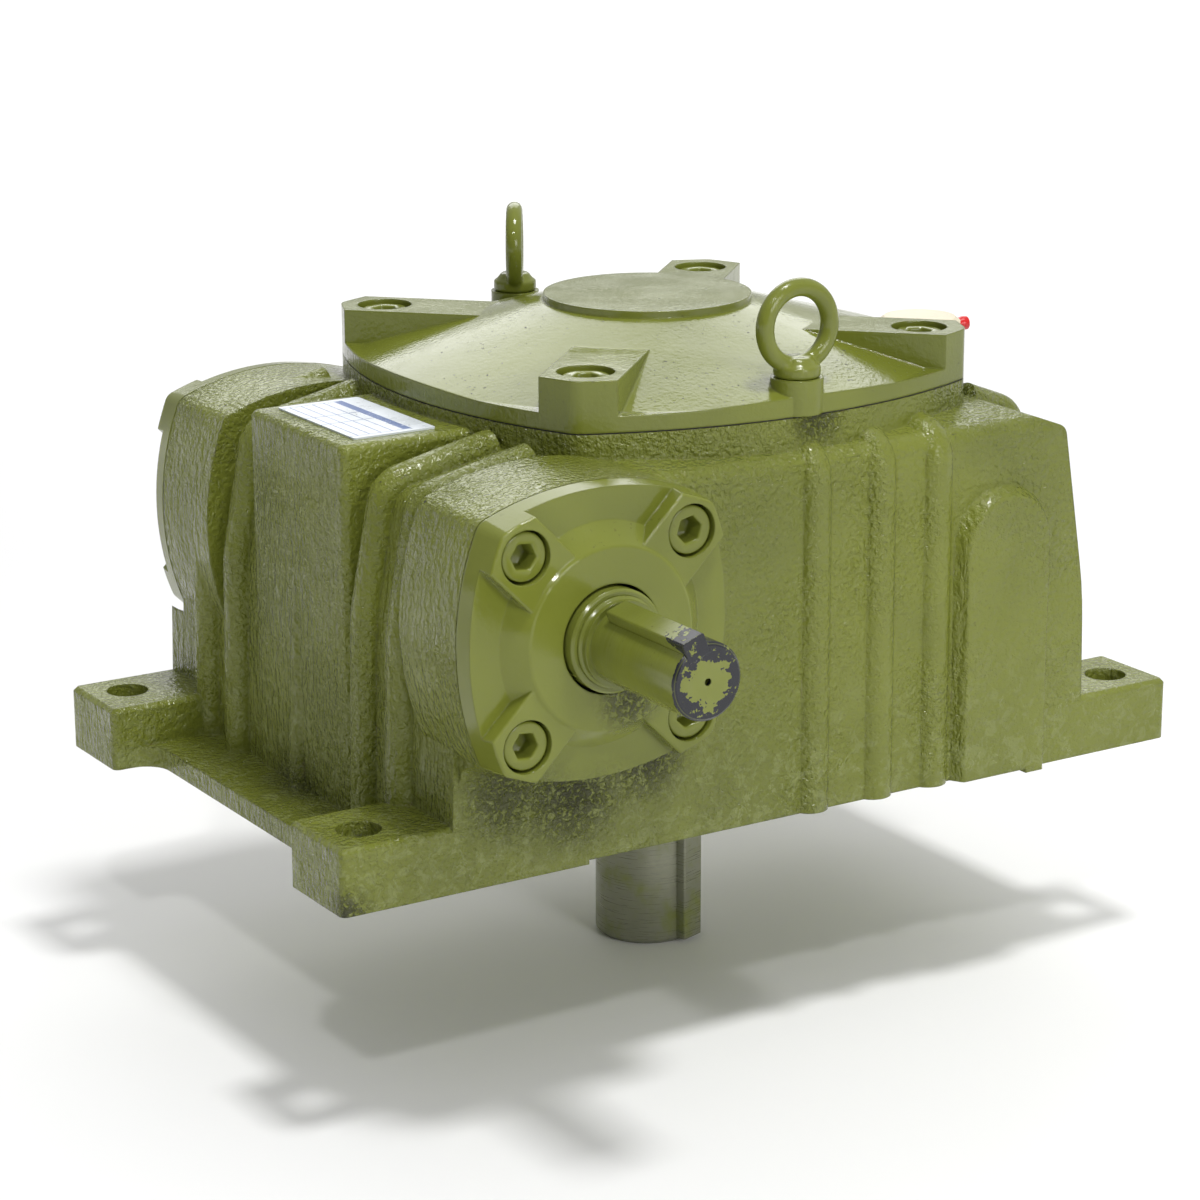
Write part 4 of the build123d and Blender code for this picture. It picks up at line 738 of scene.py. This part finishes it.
@dataclass
class SocketScrews:
    """The socket-head screws of one cover, made by one tree of Geometry Nodes."""

    node: str
    facing: Facing
    seed: int
    head_radius: float = 0.008
    head_height: float = 0.010
    socket_flats: float = 0.008
    socket_depth: float = 0.0075
    shank_radius: float = 0.005
    edge: float = 0.0007
    edge_angle: float = 40.0

    def heads(self) -> tuple[list[Point], float]:
        """Read the screws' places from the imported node.

        Returns:
            The centre of each head's outer face, and the screws' whole length.
        """
        places = []
        length = 0.0
        for low, high in parts_of(self.node):
            middle = (low + high) / 2
            if self.facing is Facing.UP:
                places.append((middle.x, middle.y, high.z))
                length = high.z - low.z
            else:
                places.append((middle.x, low.y if self.facing is Facing.FRONT else high.y, middle.z))
                length = high.y - low.y
        return places, length

    @staticmethod
    def tree() -> bpy.types.NodeTree:
        """Build the tree that sets a screw on each point.

        Returns:
            The tree, with a named input for each size.
        """
        tree = bpy.data.node_groups.new("socket_screws", "GeometryNodeTree")
        face = tree.interface
        face.new_socket("Geometry", in_out="OUTPUT", socket_type="NodeSocketGeometry")
        face.new_socket("Points", in_out="INPUT", socket_type="NodeSocketGeometry")
        for name in ("Head Radius", "Head Height", "Socket Radius", "Socket Depth", "Shank Radius", "Length"):
            face.new_socket(name, in_out="INPUT", socket_type="NodeSocketFloat")
        face.new_socket("Turn", in_out="INPUT", socket_type="NodeSocketVector")
        face.new_socket("Seed", in_out="INPUT", socket_type="NodeSocketInt")
        face.new_socket("Finish", in_out="INPUT", socket_type="NodeSocketMaterial")
        graph = Graph(tree, "GeometryNode")
        given = tree.nodes.new("NodeGroupInput").outputs

        def post(sides: int, radius: object, depth: object, middle: object) -> bpy.types.NodeSocket:
            """Return a straight post along Z."""
            body = graph.node("MeshCylinder", {"Vertices": sides, "Radius": radius, "Depth": depth})
            shift = graph.node("ShaderNodeCombineXYZ", {2: middle}).outputs[0]
            moved = graph.node("Transform", {"Geometry": body.outputs["Mesh"], "Translation": shift})
            return moved.outputs[0]

        def number(operation: str, first: object, second: object) -> bpy.types.NodeSocket:
            """Return what one operation makes of two sizes."""
            return graph.node("ShaderNodeMath", {0: first, 1: second}, operation=operation).outputs[0]

        head_middle = number("MULTIPLY", given["Head Height"], -0.5)
        head = post(HEAD_SIDES, given["Head Radius"], given["Head Height"], head_middle)
        twice_deep = number("MULTIPLY", given["Socket Depth"], 2.0)
        socket = post(SOCKET_SIDES, given["Socket Radius"], twice_deep, 0.0)
        hollow = graph.node("MeshBoolean", operation="DIFFERENCE")
        graph.feed(hollow.inputs["Mesh 1"], head)
        graph.feed(hollow.inputs["Mesh 2"], socket)
        shank_length = number("SUBTRACT", given["Length"], given["Head Height"])
        middle = number("ADD", given["Head Height"], number("MULTIPLY", shank_length, 0.5))
        shank = post(SHANK_SIDES, given["Shank Radius"], shank_length, number("MULTIPLY", middle, -1.0))
        screw = graph.node("JoinGeometry")
        for part in (hollow.outputs[0], shank):
            graph.feed(screw.inputs[0], part)
        rows = graph.node("InstanceOnPoints", {"Points": given["Points"], "Instance": screw.outputs[0],
                                               "Rotation": given["Turn"]})
        spin = graph.node("FunctionNodeRandomValue", {0: (0.0, 0.0, 0.0), 1: (0.0, 0.0, math.tau),
                                                      "Seed": given["Seed"]}, data_type="FLOAT_VECTOR")
        turned = graph.node("RotateInstances", {"Instances": rows.outputs[0], "Rotation": spin.outputs[0],
                                                "Local Space": True})
        solid = graph.node("RealizeInstances", {0: turned.outputs[0]})
        finished = graph.node("SetMaterial", {"Geometry": solid.outputs[0], "Material": given["Finish"]})
        graph.feed(tree.nodes.new("NodeGroupOutput").inputs[0], finished.outputs[0])
        return tree

    def build(self, tree: bpy.types.NodeTree, finish: bpy.types.Material) -> bpy.types.Object:
        """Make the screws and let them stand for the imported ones.

        Args:
            tree: The tree that sets a screw on each point.
            finish: The screws' material.

        Returns:
            The piece.
        """
        places, length = self.heads()
        points = bpy.data.meshes.new(self.node + "_points")
        points.from_pydata(places, [], [])
        piece = new_object("turned_" + self.node, points)
        modifier = piece.modifiers.new("screws", "NODES")
        modifier.node_group = tree
        sizes = {"Head Radius": self.head_radius, "Head Height": self.head_height,
                 "Socket Radius": self.socket_flats / math.sqrt(3.0), "Socket Depth": self.socket_depth,
                 "Shank Radius": self.shank_radius, "Length": length, "Turn": self.facing.value,
                 "Seed": self.seed, "Finish": finish}
        for item in tree.interface.items_tree:
            if item.name in sizes:
                modifier[item.identifier] = sizes[item.name]
        bevel = piece.modifiers.new("edges", "BEVEL")
        bevel.width = self.edge
        bevel.segments = 3
        bevel.limit_method = "ANGLE"
        bevel.angle_limit = math.radians(self.edge_angle)
        settle(piece)
        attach(piece, "case")
        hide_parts(self.node)
        LOG.info("%s: %d screws, %d faces", piece.name, len(places), len(piece.data.polygons))
        return piece


@dataclass
class EyeBolt:
    """A cast lifting eye whose ring runs into its collar in one smooth sweep."""

    node: str
    neck_radius: float = 0.0074
    waist_radius: float = 0.0050
    neck_height: float = 0.0030
    neck_sink: float = 0.0012
    thread_length: float = 0.010
    collar_height: float = 0.005
    sides: int = 48
    voxel: float = 0.00042
    softness: float = 0.5
    passes: int = 9
    crease: float = 70.0

    def build(self, finish: bpy.types.Material) -> bpy.types.Object:
        """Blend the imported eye, with a flared neck added, into one skin.

        Args:
            finish: The paint.

        Returns:
            The piece.
        """
        low, high = (Vector(corner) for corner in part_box(self.node))
        build = merged(self.node)
        middle = (low + high) / 2
        middle.z = low.z + self.thread_length + self.collar_height + self.neck_height / 2 - self.neck_sink
        bmesh.ops.create_cone(build, cap_ends=True, segments=self.sides, radius1=self.neck_radius,
                              radius2=self.waist_radius, depth=self.neck_height,
                              matrix=Matrix.Translation(middle))
        mesh = bpy.data.meshes.new("cast_" + self.node)
        build.to_mesh(mesh)
        build.free()
        piece = new_object("cast_" + self.node, mesh)
        mesh.materials.clear()
        mesh.materials.append(finish)
        skin = piece.modifiers.new("skin", "REMESH")
        skin.mode = "VOXEL"
        skin.voxel_size = self.voxel
        sweep = piece.modifiers.new("sweep", "SMOOTH")
        sweep.factor = self.softness
        sweep.iterations = self.passes
        settle(piece, self.crease)
        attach(piece, "case")
        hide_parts(self.node)
        LOG.info("%s: %d faces", piece.name, len(piece.data.polygons))
        return piece


@dataclass
class Casing:
    """The case, its covers and what sits on them."""

    screws: tuple[tuple[str, Facing], ...] = (
        ("top_cover_screws", Facing.UP),
        ("input_cover_screws", Facing.FRONT),
        ("rear_cover_screws", Facing.BACK),
    )
    eye_bolts: tuple[str, ...] = ("front_eye_bolt", "rear_eye_bolt")
    gaskets: tuple[str, ...] = ("top_cover_gasket", "input_cover_gasket", "rear_cover_gasket")

    def build(self, effects: Effects) -> None:
        """Dress the castings and make their screws and eye bolts.

        Args:
            effects: The shared node groups.
        """
        sand = OlivePaint("olive_paint_on_sand_casting", Surface.SAND_CAST, 0.5, 1.0, grime_and_shade=1.0, dry=0.45)
        lid = OlivePaint("olive_paint_on_lid", Surface.FINE_CAST, 0.3, 1.1)
        flange = OlivePaint("olive_paint_on_bearing_cover", Surface.MACHINED, 0.16, 0.35, grime_and_shade=1.0)
        dress(sand.build(effects), "housing")
        dress(lid.build(effects), "top_cover")
        dress(flange.build(effects), "input_bearing_cover", "rear_bearing_cover")
        dress(Moulded("gasket_fibre", (0.03, 0.028, 0.024), 0.85, 0.8).build(effects), *self.gaskets)
        dress(RuledFoil("ruled_plate_foil", "rating_plate").build(effects), "rating_plate")
        fastener = OlivePaint("olive_paint_on_screws", Surface.FASTENER, 0.25, 0.4).build(effects)
        screw_tree = SocketScrews.tree()
        for seed, (node, facing) in enumerate(self.screws):
            SocketScrews(node, facing, seed).build(screw_tree, fastener)
        lifting = OlivePaint("olive_paint_on_eye_bolts", Surface.FINE_CAST, 0.3, 0.5).build(effects)
        for node in self.eye_bolts:
            EyeBolt(node).build(lifting)


@dataclass
class Shafts:
    """The two shafts with their keys, sleeve and seals."""

    driven: tuple[str, ...] = ("worm_shaft", "input_key", "input_sleeve")
    drive: tuple[str, ...] = ("output_shaft", "output_key")
    seals: tuple[str, ...] = ("input_oil_seal", "output_oil_seal")

    def build(self, effects: Effects) -> None:
        """Dress the shafts.

        Args:
            effects: The shared node groups.
        """
        film = PaintedSteel("olive_film_on_input_shaft", "Along Y", 0.04, rough=0.2, brushed=True)
        dress(film.build(effects), *self.driven)
        overspray = PaintedSteel("overspray_on_output_shaft", "Along Z", 0.8, rough=0.3)
        dress(overspray.build(effects), *self.drive)
        dress(Moulded("seal_rubber", (0.02, 0.02, 0.022), 0.6).build(effects), *self.seals)


@dataclass
class Inside:
    """What only an open case shows."""

    ground: tuple[str, ...] = ("output_spacer", "wheel_key")

    def build(self, effects: Effects) -> None:
        """Dress the wheel, its hub and the bearings.

        Args:
            effects: The shared node groups.
        """
        dress(Metal("cut_bronze", (0.72, 0.47, 0.2), 0.35).build(effects), "wheel_rim")
        dress(Metal("bare_casting", (0.16, 0.155, 0.15), 0.6, metallic=0.7).build(effects), "wheel_hub")
        dress(Metal("blackened_steel", (0.08, 0.08, 0.085), 0.45).build(effects), "wheel_rim_screws")
        bearings = [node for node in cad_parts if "_bearing_" in node and not node.endswith("_cover")]
        dress(Metal("ground_steel", (0.56, 0.55, 0.5), 0.3).build(effects), *self.ground, *bearings)


@dataclass
class OilFittings:
    """The breather, the drain plug and the oil level glass."""

    brass: tuple[str, ...] = ("breather_body", "oil_glass_ring")

    def build(self, effects: Effects) -> None:
        """Dress the fittings.

        Args:
            effects: The shared node groups.
        """
        dress(Moulded("cream_plastic", srgb(222, 212, 184), 0.42).build(effects), "breather_cap")
        dress(Moulded("red_plastic", srgb(205, 24, 26), 0.28).build(effects), "breather_pin")
        dress(Metal("turned_brass", (0.75, 0.58, 0.27), 0.3).build(effects), *self.brass)
        dress(Metal("soft_copper", (0.72, 0.36, 0.22), 0.4).build(effects), "drain_washer")
        dress(Metal("blackened_plug", (0.1, 0.1, 0.1), 0.4).build(effects), "drain_plug")
        dress(self.glass(), "oil_glass")

    @staticmethod
    def glass() -> bpy.types.Material:
        """Build clear glass with a faint tint and smears.

        Returns:
            The material.
        """
        material, graph, shader = new_material("level_glass")
        smear = graph.remap(graph.noise(220.0, 3.0, 0.6), 0.35, 0.7, 0.02, 0.12)
        graph.feed(shader.inputs["Roughness"], smear)
        shader.inputs["Base Color"].default_value = (0.86, 0.93, 0.88, 1.0)
        shader.inputs["Transmission Weight"].default_value = 0.9
        shader.inputs["IOR"].default_value = 1.5
        return material


@dataclass(frozen=True)
class Softbox:
    """A rectangular lamp: its place, its width and height, and its power in watts."""

    name: str
    place: Point
    size: tuple[float, float]
    power: float

    def hang(self, aim: Point) -> None:
        """Hang the lamp so that it faces a point.

        Args:
            aim: The point it faces.
        """
        data = bpy.data.lights.new(self.name, "AREA")
        data.shape = "RECTANGLE"
        data.size, data.size_y = self.size
        data.energy = self.power
        lamp = bpy.data.objects.new(self.name, data)
        toward = Vector(aim) - Vector(self.place)
        lamp.rotation_euler = toward.to_track_quat("-Z", "Y").to_euler()
        lamp.location = self.place
        bpy.context.scene.collection.objects.link(lamp)


@dataclass
class Studio:
    """Pale floor, soft light and the camera."""

    floor_height: float = -0.0753
    floor_half: float = 9.0
    eye: Point = (-0.65204, -1.00477, 0.39403)
    yaw: float = 32.1645
    pitch: float = 15.948
    roll: float = -0.1634
    lens: float = 102.768
    bright_side: Point = (0.7, 0.3, 0.65)
    aim: Point = (0.0, 0.0, 0.06)
    lamps: tuple[Softbox, ...] = (
        Softbox("key_softbox", (0.1, -0.45, 1.9), (0.3, 0.3), 20.0),
        Softbox("back_panel", (0.85, 1.6, 1.28), (1.5, 1.3), 14.0),
        Softbox("front_fill", (0.1, -2.2, 0.7), (0.7, 0.7), 13.0),
        Softbox("edge_light", (-1.0, -1.3, 1.75), (0.13, 0.13), 8.0),
    )

    def camera(self) -> None:
        """Place the camera at the photograph's viewpoint."""
        yaw, pitch, roll = (math.radians(value) for value in (self.yaw, self.pitch, self.roll))
        ahead = Vector((math.sin(yaw) * math.cos(pitch), math.cos(yaw) * math.cos(pitch), -math.sin(pitch)))
        right = Vector((math.cos(yaw), -math.sin(yaw), 0.0))
        up = right.cross(ahead)
        right, up = right * math.cos(roll) + up * math.sin(roll), up * math.cos(roll) - right * math.sin(roll)
        data = bpy.data.cameras.new("photo_camera")
        data.lens = self.lens
        data.sensor_width = 36.0
        data.clip_end = 20.0
        camera = bpy.data.objects.new("photo_camera", data)
        turn = Matrix((right, up, -ahead)).transposed().to_4x4()
        camera.matrix_world = Matrix.Translation(self.eye) @ turn
        bpy.context.scene.collection.objects.link(camera)
        bpy.context.scene.camera = camera

    def floor(self) -> None:
        """Lay a wide white paper floor with a faint tooth."""
        mesh = bpy.data.meshes.new("floor")
        half = self.floor_half
        corners = [(x * half, y * half, self.floor_height) for x, y in ((-1, -1), (1, -1), (1, 1), (-1, 1))]
        mesh.from_pydata(corners, [], [(0, 1, 2, 3)])
        floor = new_object("floor", mesh)
        material, graph, shader = new_material("floor_paper")
        shader.inputs["Base Color"].default_value = (0.88, 0.88, 0.88, 1.0)
        shader.inputs["Roughness"].default_value = 0.95
        shader.inputs["Specular IOR Level"].default_value = 0.1
        away = graph.node("VectorMath", {0: graph.place()}, operation="LENGTH").outputs["Value"]
        far = graph.remap(away, 0.8, 2.6)
        graph.feed(shader.inputs["Emission Color"], graph.blend(far, (0.0, 0.0, 0.0), (0.62, 0.62, 0.62)))
        shader.inputs["Emission Strength"].default_value = 1.0
        tooth = graph.node("Bump", {"Height": graph.noise(900.0), "Distance": 0.0001, "Strength": 0.3})
        graph.feed(shader.inputs["Normal"], tooth.outputs[0])
        mesh.materials.append(material)

    def surround(self) -> None:
        """Set an even surround that is darker on the worm's side."""
        world = bpy.data.worlds.new("surround")
        world.use_nodes = True
        graph = Graph(world.node_tree)
        heading = graph.node("TexCoord").outputs["Generated"]
        match = graph.node("VectorMath", {0: heading, 1: self.bright_side}, operation="DOT_PRODUCT")
        background = world.node_tree.nodes["Background"]
        background.inputs[0].default_value = (1.0, 1.0, 1.0, 1.0)
        strength = graph.remap(match.outputs["Value"], -1.0, 1.0, 0.0, 0.7, smooth=False)
        graph.feed(background.inputs[1], strength)
        bpy.context.scene.world = world

    def build(self) -> None:
        """Build the whole set."""
        self.floor()
        for lamp in self.lamps:
            lamp.hang(self.aim)
        self.surround()
        self.camera()
        bpy.context.scene.view_settings.view_transform = "Standard"


def main() -> None:
    """Build the set, the finishes and the added pieces."""
    logging.basicConfig(level=logging.INFO, format="%(message)s")
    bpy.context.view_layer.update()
    Studio().build()
    effects = Effects()
    for assembly in (Casing(), Shafts(), Inside(), OilFittings()):
        assembly.build(effects)
        LOG.info("%s is ready", type(assembly).__name__)


if __name__ == "__main__":
    main()
